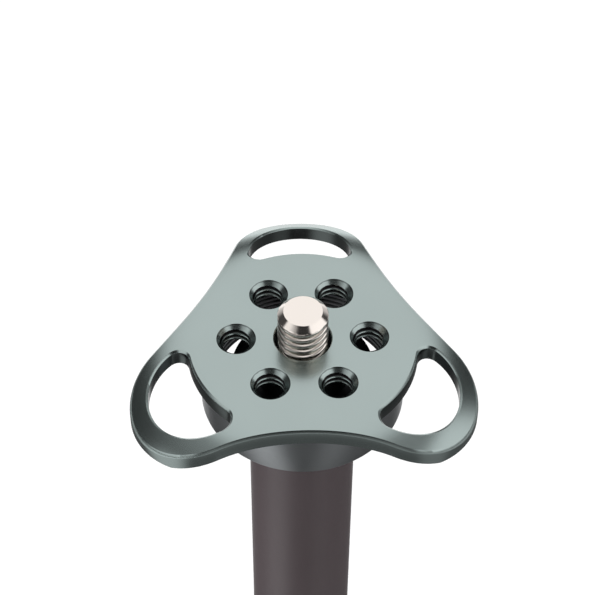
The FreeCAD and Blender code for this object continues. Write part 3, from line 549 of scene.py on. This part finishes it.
def edge_band(loop, rows):
    """The plate's edge along a loop. A row is how far into the metal from the loop, how far down, and
    1 if down is from the plate's top or -1 if it is up from its underside."""
    points, outward = loop
    bands = []
    for inset, down, side in rows:
        x, y = (points - inset * outward).T
        face = -dome_drop(x, y) if side > 0 else underside(x, y)
        bands.append(np.stack([x, y, face - side * down], 1))
    return np.stack(bands)


edge_rows = [
    (top_break, 0, 1),
    (break_ease, top_break - break_ease, 1),
    (0, top_break + break_ease, 1),
    (0, under_break, -1),
    (under_break, 0, -1),
]
bands = [edge_band(loop, edge_rows) for loop in edge_loops]


def circle(radius, around, x=0.0, y=0.0):
    """Points round a circle, seen from above."""
    angle = np.linspace(0, 2 * math.pi, around, endpoint=False)
    return ring_points(radius, angle, 0, x, y)[:, :2]


def odd_inside(points, loops):
    """Whether each point lies inside an odd number of the loops, by counting crossings to its right."""
    x, y = points[:, :1], points[:, 1:]
    inside = np.zeros(len(points), bool)
    for loop in loops:
        (x1, y1), (x2, y2) = loop.T, np.roll(loop, -1, 0).T
        straddles = (y1 > y) != (y2 > y)
        with np.errstate(divide="ignore", invalid="ignore"):
            meets = x1 + (y - y1) * (x2 - x1) / (y2 - y1)
        inside ^= (straddles & (x < meets)).sum(1) % 2 == 1
    return inside


def filled(loops, height):
    """The face between loops, its height given at each point: triangles between the loops and rings of
    points over the dome."""
    rings = [
        circle(radius, max(least_on_ring, round(2 * math.pi * radius / fill_step)))
        for radius in np.arange(flat_r, lobe_out + lobe_r, fill_step)
    ]
    inner = np.concatenate(rings)
    edge = np.concatenate(loops)
    near = np.full(len(inner), np.inf)
    for start in range(0, len(edge), batch):
        gaps = np.linalg.norm(inner[:, None] - edge[None, start:start + batch], axis=2)
        near = np.minimum(near, gaps.min(1))
    inner = inner[(near > fill_step / 2) & odd_inside(inner, loops)]
    points = np.concatenate([edge, inner])
    starts = np.cumsum([0] + [len(loop) for loop in loops]).tolist()
    rims = [
        (start + corner, start + (corner + 1) % len(loop))
        for start, loop in zip(starts, loops)
        for corner in range(len(loop))
    ]
    flat, _, triangles, *_ = delaunay_2d_cdt([Vector(point) for point in points], rims, [], 0, same_spot)
    flat = np.array([tuple(point) for point in flat])
    triangles = np.array(triangles)
    triangles = triangles[odd_inside(flat[triangles].mean(1), loops)]
    corners = np.column_stack([flat, height(flat[:, 0], flat[:, 1])])
    return corners, triangles.tolist(), np.zeros(len(corners))


def turned(corners, around, close_rows=False, mask=None):
    """Surface of revolution about the upright axis from an outline of radius and height."""
    outline = np.array(corners, float)
    angle = np.linspace(0, 2 * math.pi, around + 1)
    return patch(ring_points(outline[:, :1], angle[None, :], outline[:, 1:]), close_rows, mask=mask)


hole_angles = np.arange(0, 360, 60)
hole_spots = [about(tapped_ring_r, degrees) for degrees in hole_angles]
holes_top = [circle(tapped_mouth_r, hole_around, x, y) for x, y in hole_spots]
holes_under = [circle(tapped_under_r, hole_around, x, y) for x, y in hole_spots]
stud_mouth = circle(stud_hole_r + small_break, axis_around)
top_loops = [band[0][:, :2] for band in bands] + holes_top + [stud_mouth]
under_rounds = [circle(radius, axis_around) for radius in (rib_r, rib_r - rib_wall, boss_r)]
under_loops = [band[-1][:, :2] for band in bands] + holes_under + under_rounds
# Painted shade: the strap slots' upright walls are darkened towards the plate's shade colour
painted_wall_shade = np.array([0, 0, slot_wall_shade, slot_wall_shade, 0])[:, None]
plate_patches = [
    filled(top_loops, lambda x, y: -dome_drop(x, y)),
    filled(under_loops, underside),
    patch(bands[0], close_columns=True),
]
plate_patches += [patch(band, close_columns=True, mask=painted_wall_shade) for band in bands[1:]]
plate_patches.append(turned([
    (stud_hole_r + small_break, 0), (stud_hole_r, -small_break), (stud_hole_r, spigot_top),
    (spigot_r, spigot_top), (spigot_r, boss_low), (boss_r - small_break, boss_low),
    (boss_r, boss_low + small_break), (boss_r, -plate_thick),
], axis_around))
plate_patches.append(turned([
    (rib_r, -plate_thick), (rib_r, rib_low), (rib_r - rib_wall, rib_low), (rib_r - rib_wall, -plate_thick),
], axis_around))
# Tapped holes: threads with painted shade in their roots, which stops short of both mouths, and a thin
# painted dark line at the rim standing in for its broken edge's dark reflection
angle, height, turns = helical_grid(tapped_pitch, -plate_thick, 0, hole_around)
crest = thread_height(turns + far_side_turn - first_crest / tapped_pitch)
bore = tapped_major - (tapped_major - tapped_minor) * crest
bore = np.maximum(bore, np.maximum(tapped_mouth_r + height, tapped_under_r - (height + plate_thick)))
threaded = (height < -root_from_top) * (height > root_from_under - plate_thick)
at_rim = (height > rim_line_low) * (height < rim_line_top)
painted_shade = root_shade(crest, hole_root_below, hole_root_steep) * threaded
painted_shade = np.maximum(painted_shade, rim_line_dark * at_rim)
for x, y in hole_spots:
    plate_patches.append(patch(ring_points(bore, angle, height, x, y), mask=painted_shade))
plate = build("mount_plate_metal", plate_patches)


on_dome_within = 0.002


def shade_dome(piece):
    """Give the faces of the domed top the dome's exact normals: upright on the flat, and leaning out by
    the sine of (distance past the flat / dome radius). Other faces keep their own."""
    mesh = piece.data
    spots = np.empty(3 * len(mesh.vertices))
    mesh.vertices.foreach_get("co", spots)
    x, y, z = spots.reshape(-1, 3).T / MM
    out = np.maximum(np.hypot(x, y), same_spot)
    lean_out = np.maximum(out - flat_r, 0) / dome_r
    exact = np.stack([lean_out * x / out, lean_out * y / out, np.sqrt(1 - lean_out**2)], 1)
    corner_of = np.empty(len(mesh.loops), int)
    mesh.loops.foreach_get("vertex_index", corner_of)
    starts, sides = np.empty(len(mesh.polygons), int), np.empty(len(mesh.polygons), int)
    mesh.polygons.foreach_get("loop_start", starts)
    mesh.polygons.foreach_get("loop_total", sides)
    on_dome = np.abs(z + dome_drop(x, y)) < on_dome_within
    domed = np.logical_and.reduceat(on_dome[corner_of], starts)
    mesh.normals_split_custom_set(exact[corner_of] * np.repeat(domed, sides)[:, None])


shade_dome(plate)
# The plate's shade colour is painted into the holes' thread roots, their rim lines and the slot walls
plate_coat = finish_coat("plate_anodise", (0.385, 0.452, 0.441), 0.24, 1.0, tone=0.045, grain_size=1600.0,
                         grain_depth=0.0006, edge=0.2, worn_colour=(0.62, 0.66, 0.64),
                         painted_shade_colour=(0.012, 0.012, 0.012))
dress(plate, plate_coat, "plate", "column", "mount_plate")


# Collar: a ring turned from the same aluminium, pressed over the rib under the plate. It hides the
# head of the column, and its inside wall keeps the coarse ridges that it was cut with.
collar_r, collar_bore_r, collar_top, collar_low, collar_around = 19.5, 17.75, -3.55, -16.0, 160
collar_break, top_edge_break, bore_break, edge_ease = 0.2, 0.15, 0.12, 0.04
ridge_pitch, ridge_deep, ridge_top, ridge_flat, ridge_foot = 1.2, 0.45, -6.0, 0.42, 0.72
ridge_tops = np.arange(ridge_top, collar_low + ridge_pitch, -ridge_pitch)
ridge_z = (ridge_tops[:, None] - ridge_pitch * np.array([0, ridge_flat, ridge_foot])).ravel()
in_valley = np.tile([0, 0, 1], len(ridge_tops))
ridge_r = collar_bore_r + ridge_deep * in_valley
collar_edges = [
    (collar_bore_r, collar_low + bore_break), (collar_bore_r + bore_break, collar_low),
    (collar_r - collar_break, collar_low), (collar_r - edge_ease, collar_low + collar_break - edge_ease),
    (collar_r, collar_low + collar_break + edge_ease), (collar_r, collar_top - top_edge_break),
    (collar_r - top_edge_break, collar_top), (collar_bore_r, collar_top),
]
collar_outline = list(zip(ridge_r, ridge_z)) + collar_edges
# Painted shade: the valleys between the inside ridges are darkened nearly to black
collar_valley_shade = np.concatenate([in_valley, np.zeros(len(collar_edges))])[:, None]
collar = build("plate_collar_metal", [
    turned(collar_outline, collar_around, close_rows=True, mask=collar_valley_shade),
])
collar_coat = finish_coat("collar_anodise", (0.40, 0.425, 0.44), 0.32, 1.0, tone=0.03, grain_depth=0.004,
                          marks=0.02, mark_scale=3000.0, edge=0.3, worn_colour=(0.6, 0.64, 0.62),
                          painted_shade_colour=(0.01, 0.01, 0.01))
dress(collar, collar_coat, "skirt", "column", "plate_collar")


# Column: a drawn aluminium tube with a satin grey-brown coat. A guide groove runs up its back from
# the lower end, and the black turned head is glued into its top.
column_r, column_wall, column_top, column_low, column_around = 10.44, 1.5, -14.0, -259.4, 144
guide_half, guide_depth, guide_end, column_break = 1.5, 0.6, -38.0, 0.3
back = math.pi / 2
edge_angle = math.asin(guide_half / column_r)
evenly = np.linspace(0, 2 * math.pi, column_around + 1) + back
outer = np.unique(np.concatenate([evenly, back + np.array([edge_angle, 2 * math.pi - edge_angle])]))
from_back = np.abs((outer - back + math.pi) % (2 * math.pi) - math.pi)
in_guide = from_back < edge_angle + tiny
grooved = np.where(in_guide, (column_r - guide_depth) / np.cos(np.minimum(from_back, 1)), column_r)
# A row is its radius, its height, and 1 where the groove cuts it
tube_rows = [
    (column_r - column_break, column_low, 1), (column_r, column_low + column_break, 1),
    (column_r, guide_end, 1), (column_r, guide_end, 0), (column_r, column_top, 0),
    (column_r - column_wall, column_top, 0), (column_r - column_wall, column_low, 0),
]
column_points = np.stack([
    ring_points(np.minimum(radius, grooved) if cut else np.full_like(outer, radius), outer, z)
    for radius, z, cut in tube_rows
])
column_tube = build("column_tube_metal", [patch(column_points, close_rows=True)])
tube_coat = finish_coat("tube_anodise", (0.1, 0.077, 0.083), 0.4, 0.0, tone=0.05, grain_size=1800.0,
                        grain_depth=0.008)
dress(column_tube, tube_coat, "column_tube", "column", "column_tube")


# Column head: a flanged plug turned from aluminium and anodised black. It is glued into the tube, its
# spigot sits in the plate's boss, and its tapped middle takes the stud.
spigot_outer_r, spigot_rise, flange_r, flange_top, plug_low = 6.4, 3.9, 13.7, -9.0, -36.0
stud_bore_r, stud_bore_low, glue_gap, head_around = 4.8, -24.5, 0.05, 128
plug_r, spigot_end = column_r - column_wall - glue_gap, flange_top + spigot_rise
black_metal = finish_coat("black_anodise", (0.03, 0.030, 0.033), 0.38, 0.7, tone=0.05, grain_depth=0.004,
                          marks=0.02, edge=0.4, worn_colour=(0.2, 0.2, 0.2))


def eased(corners, steps=4):
    """An outline with rounded corners. A corner is its radius, its height and how far from it the
    rounding starts: there a quadratic curve bends towards the corner and away again."""
    spots = np.array([corner[:2] for corner in corners], float)
    share = np.linspace(0, 1, steps)[:, None]
    rounded = []
    for index, corner in enumerate(corners):
        spot = spots[index]
        if len(corner) < 3:
            rounded.append(spot[None])
            continue
        before, after = spots[index - 1] - spot, spots[(index + 1) % len(spots)] - spot
        start = spot + before / np.linalg.norm(before) * corner[2]
        end = spot + after / np.linalg.norm(after) * corner[2]
        rounded.append((1 - share)**2 * start + 2 * share * (1 - share) * spot + share**2 * end)
    return np.concatenate(rounded)


head = build("column_head_metal", [turned(eased([
    (0, stud_bore_low), (stud_bore_r, stud_bore_low), (stud_bore_r, spigot_end, 0.2),
    (spigot_outer_r, spigot_end, 0.3), (spigot_outer_r, flange_top),
    (flange_r, flange_top, 0.1), (flange_r, column_top, 0.25),
    (plug_r, column_top), (plug_r, plug_low, 0.5), (0, plug_low),
]), head_around)])
dress(head, black_metal, "dark_metal", "column", "column_top_hub")


# Column foot: a cap turned from aluminium stops the column in the shoulder. A steel ring swings in its
# ear, to hang a weight from.
cad_weld, cad_flat, edge_bend = 0.0005 * MM, math.radians(0.3), math.radians(30)


def softened(name, node_name, width, leg=None):
    """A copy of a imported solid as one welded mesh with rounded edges, for castings and small hardware.
    Flat faces are joined first, so that the rounding runs clean. Where the width is 0, edges stay."""
    shell = bmesh.new()
    shell.from_mesh(frame["nodes"][node_name].data)
    bmesh.ops.remove_doubles(shell, verts=shell.verts, dist=cad_weld)
    bmesh.ops.dissolve_limit(shell, angle_limit=cad_flat, verts=shell.verts, edges=shell.edges)
    mesh = bpy.data.meshes.new(name)
    shell.to_mesh(mesh)
    shell.free()
    spots = np.empty(3 * len(mesh.vertices))
    mesh.vertices.foreach_get("co", spots)
    spots = spots.reshape(-1, 3)
    if leg:
        hinge, axes = leg_place(leg)
        spots = (spots - hinge) @ axes
    own = mesh.attributes.new("local", "FLOAT_VECTOR", "POINT")
    own.data.foreach_set("vector", spots.astype(np.float32).reshape(-1))
    mesh.polygons.foreach_set("use_smooth", np.ones(len(mesh.polygons), bool))
    piece = bpy.data.objects.new(name, mesh)
    bpy.context.collection.objects.link(piece)
    if width:
        rounding = piece.modifiers.new("rounded_edges", "BEVEL")
        rounding.width = width * MM
        rounding.segments = 3
        rounding.limit_method = "ANGLE"
        rounding.angle_limit = edge_bend
        rounding.use_clamp_overlap = False
        even = piece.modifiers.new("even_shading", "WEIGHTED_NORMAL")
        even.keep_sharp = True
    else:
        mesh.set_sharp_from_angle(angle=edge_bend)
    return piece


cap = softened("column_cap_metal", "column_end_cap", 0.35)
dress(cap, black_metal, "dark_metal", "column", "column_end_cap")
ring_r, wire_r, round_ring_steps, round_wire_steps = 6.5, 1.2, 96, 32
ring_z = joints["weight_ring_swing"]["pos_m"][2] / MM - ring_r
round_ring = np.linspace(0, 2 * math.pi, round_ring_steps + 1)[:, None]
round_wire = np.linspace(0, 2 * math.pi, round_wire_steps + 1)
from_ring_middle = ring_r + wire_r * np.cos(round_wire)
weight_ring = build("weight_ring_steel", [patch(np.stack(np.broadcast_arrays(
    wire_r * np.sin(round_wire),
    from_ring_middle * np.cos(round_ring),
    ring_z + from_ring_middle * np.sin(round_ring),
), -1))])
dress(weight_ring, steel, "steel", "weight_ring", "weight_ring")


# Shoulder: a magnesium casting with three wings for the legs, under a fine-textured grey-green coat.
# A plastic bushing in its foot and a split plastic clamp in its neck hold the column.
cast_coat = finish_coat("cast_paint", (0.13, 0.148, 0.148), 0.42, 0.35, tone=0.05, grain_size=1500.0,
                        grain_depth=0.05, edge=0.5, worn_colour=(0.42, 0.45, 0.45), Coat_Weight=0.15)
nylon = finish_coat("moulded_nylon", (0.045, 0.045, 0.046), 0.5, 0.0, tone=0.08, grain_size=1200.0,
                    grain_depth=0.03)
for name, node_name, width, coat, slot in (
    ("shoulder_casting", "shoulder", 0.6, cast_coat, "casting"),
    ("column_bushing_plastic", "column_bushing", 0.2, nylon, "nylon"),
    ("column_clamp_plastic", "column_collet", 0.25, nylon, "nylon"),
    ("hinge_bolts_steel", "leg_hinge_bolts", 0.3, steel, "steel"),
    ("hinge_nuts_steel", "leg_hinge_nuts", 0.3, steel, "steel"),
):
    dress(softened(name, node_name, width), coat, slot, "shoulder", node_name)


# Column lock: an aluminium ring that screws down the shoulder's neck. A ribbed rubber grip lies in a
# wide groove round it.
rubber = finish_coat("grip_rubber", (0.022, 0.022, 0.024), 0.62, 0.0, tone=0.12, grain_size=2600.0,
                     grain_depth=0.035, edge=0.25, worn_colour=(0.07, 0.07, 0.072))
grip_bed, bed_gap, band_gap, bed_skin = 1.7, 0.05, 0.1, 0.3
rib_deep, rib_round, plain_end, grip_round, grip_step, steps_a_rib = 0.75, 0.9, 1.6, 0.5, 0.8, 12


def fine(outline, step):
    """The closed outline with points added, so that no stretch is longer than the step."""
    added = []
    for here, there in zip(outline, np.roll(outline, -1, 0)):
        count = max(1, math.ceil(np.linalg.norm(there - here) / step))
        added.append(here + (there - here) * np.linspace(0, 1, count, endpoint=False)[:, None])
    return np.concatenate(added)


def grip_sleeve(name, outer_r, bed_r, top, low, ribs, leg=None):
    """A rubber sleeve with upright ribs between two plain ends, in a groove from its bed out and from top
    to low. Between the ribs the surface falls by the rib depth times (1 - |sin|) squared, so that the
    valleys are narrow, and this fades out near its ends."""
    inner_r, top, low = bed_r + bed_gap, top - band_gap, low + band_gap
    outline = fine(eased([
        (inner_r, low), (outer_r, low, grip_round), (outer_r, top, grip_round), (inner_r, top),
    ]), grip_step)
    angle = np.linspace(0, 2 * math.pi, ribs * steps_a_rib + 1)[None, :]
    radius, height = outline[:, :1], outline[:, 1:]
    from_end = np.minimum(top - height, height - low)
    fade = np.clip((from_end - plain_end) / rib_round, 0, 1)
    valley = (1 - np.abs(np.sin(ribs / 2 * angle)))**2
    cut = rib_deep * valley * fade**0.5 * (radius > inner_r + bed_skin)
    points = ring_points(radius - cut, angle, height)
    return build(name, [patch(points, close_rows=True, mask=valley * fade)], sharp=50, leg=leg)


lock_outer_r, lock_bore_r, lock_lip_r = 22.5, 17.1, 11.0
lock_top, lock_low, lock_shelf = -206.0, -229.6, -210.7
band_wide, lock_around, column_ribs = 2.6, 160, 30
lock_bed_r, bed_top, bed_low = lock_outer_r - grip_bed, lock_top - band_wide, lock_low + band_wide
ring_metal = build("column_lock_metal", [turned(eased([
    (lock_bore_r, lock_low, 0.2), (lock_outer_r, lock_low, 0.6), (lock_outer_r, bed_low, 0.3),
    (lock_bed_r, bed_low), (lock_bed_r, bed_top),
    (lock_outer_r, bed_top, 0.3), (lock_outer_r, lock_top, 1.3), (lock_lip_r, lock_top, 0.4),
    (lock_lip_r, lock_shelf, 0.2), (lock_bore_r, lock_shelf, 0.3),
]), lock_around, close_rows=True)])
dress(ring_metal, black_metal, "dark_metal", "column_lock", "column_lock_ring")
ring_grip = grip_sleeve("column_lock_grip", lock_outer_r, lock_bed_r, bed_top, bed_low, column_ribs)
dress(ring_grip, rubber, "lock_ring", "column_lock")


# Legs: three alike, each with a cast head of two cheeks, a sliding tab on a spring that frees it to
# swing, and tubes that telescope.
tab_coat = finish_coat("tab_anodise", (0.36, 0.40, 0.39), 0.34, 1.0, tone=0.04, grain_depth=0.004, edge=0.4,
                       worn_colour=(0.6, 0.64, 0.62))
legs = ("right", "left", "front")
for leg in legs:
    bracket = softened(f"{leg}_leg_head_casting", f"{leg}_leg_bracket", 0.55, leg)
    dress(bracket, cast_coat, "casting", f"{leg}_leg", f"{leg}_leg_bracket")
    tab = softened(f"{leg}_leg_tab_metal", f"{leg}_leg_angle_tab", 0.15, leg)
    dress(tab, tab_coat, "tab", f"{leg}_angle_tab", f"{leg}_leg_angle_tab")
    spring = softened(f"{leg}_leg_spring_wire", f"{leg}_leg_tab_spring", 0, leg)
    dress(spring, steel, "steel", f"{leg}_leg", f"{leg}_leg_tab_spring")
    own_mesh(spring)


# Leg tubes: drawn aluminium with a coat like the column's. The upper and the middle one end in a thicker
# sleeve for a lock to screw onto, and plastic shims guide the next tube's top.
upper_r, middle_r, lower_r, leg_wall, sleeve_rise = 13.0, 10.8, 8.6, 1.2, 0.9
upper_span, upper_sleeve = (18.05, 286.0), 266.0
middle_span, middle_sleeve = (44.0, 320.4), 300.4
lower_span, tube_around = (50.0, 338.0), 96
leg_coat = finish_coat("leg_anodise", (0.1, 0.078, 0.084), 0.4, 0.0, tone=0.05, grain_size=1800.0,
                       grain_depth=0.008)


def leg_tube(name, outer_r, span, sleeve, leg):
    """A tube from one distance down the leg to another, with a sleeve on its lower end."""
    start, end = span
    inner_r, end_r = outer_r - leg_wall, outer_r
    corners = [(inner_r, -start, 0.2), (outer_r, -start, 0.3)]
    if sleeve:
        end_r = outer_r + sleeve_rise
        corners += [(outer_r, -sleeve), (end_r, -sleeve, 0.2)]
    corners += [(end_r, -end, 0.3), (inner_r, -end, 0.2)]
    return build(name, [turned(eased(corners), tube_around, close_rows=True)], leg=leg)


for leg in legs:
    upper = leg_tube(f"{leg}_leg_upper_tube_metal", upper_r, upper_span, upper_sleeve, leg)
    dress(upper, leg_coat, "leg_tube", f"{leg}_leg", f"{leg}_leg_upper_tube")
    middle = leg_tube(f"{leg}_leg_middle_tube_metal", middle_r, middle_span, middle_sleeve, leg)
    dress(middle, leg_coat, "leg_tube", f"{leg}_leg_middle", f"{leg}_leg_middle_tube")
    lower = leg_tube(f"{leg}_leg_lower_tube_metal", lower_r, lower_span, None, leg)
    dress(lower, leg_coat, "leg_tube", f"{leg}_leg_lower", f"{leg}_leg_lower_tube")
    for part, body in (("middle", "leg_middle"), ("lower", "leg_lower")):
        shims = softened(f"{leg}_leg_{part}_shims_plastic", f"{leg}_leg_{part}_shims", 0.15, leg)
        dress(shims, nylon, "nylon", f"{leg}_{body}", f"{leg}_leg_{part}_shims")
    for part, body in (("upper", "leg"), ("lower", "leg_middle")):
        collet = softened(f"{leg}_leg_{part}_collet_plastic", f"{leg}_leg_{part}_collet", 0.15, leg)
        dress(collet, nylon, "nylon", f"{leg}_{body}", f"{leg}_leg_{part}_collet")


# Twist locks: aluminium rings on the tubes' threads, each in a ribbed rubber grip between two bands.
# Spans are distances down the leg from its hinge.
leg_band_wide, leg_bed, thread_clear, seat_step, leg_lock_around = 2.2, 0.4, 0.3, 0.4, 120
lip_gap, lip_thick, lip_wall = 0.3, 1.5, 0.9
upper_lock_r, upper_lock_span, upper_ribs = 16.0, (264.0, 298.0), 24
lower_lock_r, lower_lock_span, lower_ribs = 13.8, (298.4, 330.4), 20


def twist_lock(leg, part, outer_r, tube_r, inner_r, span, tube_end, ribs):
    """A lock ring and its grip, from one distance down the leg to another. Its bore clears the tube's
    sleeve above and closes to a seat and a lip below."""
    top, low = -span[0], -span[1]
    bed_top, bed_low = top - leg_band_wide, low + leg_band_wide
    bore, seat = tube_r + sleeve_rise + thread_clear, tube_r + sleeve_rise - seat_step
    bed, lip, shelf = bore + leg_bed, inner_r + lip_gap, -tube_end - thread_clear
    metal = build(f"{leg}_leg_{part}_lock_metal", [turned(eased([
        (bore, top), (outer_r, top, 0.6), (outer_r, bed_top, 0.25), (bed, bed_top),
        (bed, bed_low), (outer_r, bed_low, 0.25), (outer_r, low, 0.6),
        (lip, low, 0.2), (lip, low + lip_thick), (seat - lip_wall, low + lip_thick),
        (seat, shelf), (bore, shelf),
    ]), leg_lock_around, close_rows=True)], leg=leg)
    dress(metal, black_metal, "dark_metal", f"{leg}_{part}_lock", f"{leg}_leg_{part}_lock")
    grip = grip_sleeve(f"{leg}_leg_{part}_lock_grip", outer_r, bed, bed_top, bed_low, ribs, leg)
    dress(grip, rubber, "lock_ring", f"{leg}_{part}_lock")


for leg in legs:
    twist_lock(leg, "upper", upper_lock_r, upper_r, middle_r, upper_lock_span, upper_span[1], upper_ribs)
    twist_lock(leg, "lower", lower_lock_r, middle_r, lower_r, lower_lock_span, middle_span[1], lower_ribs)


# Feet: moulded rubber with a round end and a few grip grooves, screwed onto a plug in the lower tube.
foot_r, foot_top, leg_end, foot_bore, foot_around = 10.0, 330.8, 360.0, 338.0, 96
foot_stud_r, foot_stud_end, snug, stud_clear = 4.0, 348.5, 0.05, 0.3
foot_grooves, first_groove, groove_apart, groove_sunk = 4, 3.6, 2.6, 0.45
groove_mouth, groove_floor, dome_steps = 0.7, 0.35, 24
ball_z, plug_bore_r, stud_room_r = -(leg_end - foot_r), lower_r + snug, foot_stud_r + snug
for leg in legs:
    plug = softened(f"{leg}_leg_foot_plug_metal", f"{leg}_leg_foot_plug", 0.25, leg)
    dress(plug, black_metal, "dark_metal", f"{leg}_leg_lower", f"{leg}_leg_foot_plug")
    sides = [(plug_bore_r, -foot_top, 0.2), (foot_r, -foot_top, 0.6)]
    for groove in range(foot_grooves):
        middle_z = -foot_top - first_groove - groove * groove_apart
        sides += [
            (foot_r, middle_z + groove_mouth, 0.25), (foot_r - groove_sunk, middle_z + groove_floor, 0.2),
            (foot_r - groove_sunk, middle_z - groove_floor, 0.2), (foot_r, middle_z - groove_mouth, 0.25),
        ]
    down = np.linspace(0, math.pi / 2, dome_steps)
    dome = list(zip(foot_r * np.cos(down), ball_z - foot_r * np.sin(down)))
    inside = [
        (0, -foot_stud_end - stud_clear), (stud_room_r, -foot_stud_end - stud_clear),
        (stud_room_r, -foot_bore - snug), (plug_bore_r, -foot_bore - snug),
    ]
    outline = eased(sides + dome + inside)
    foot = build(f"{leg}_leg_foot_rubber", [turned(outline, foot_around, close_rows=True)], leg=leg)
    dress(foot, rubber, "rubber", f"{leg}_leg_lower", f"{leg}_leg_foot")
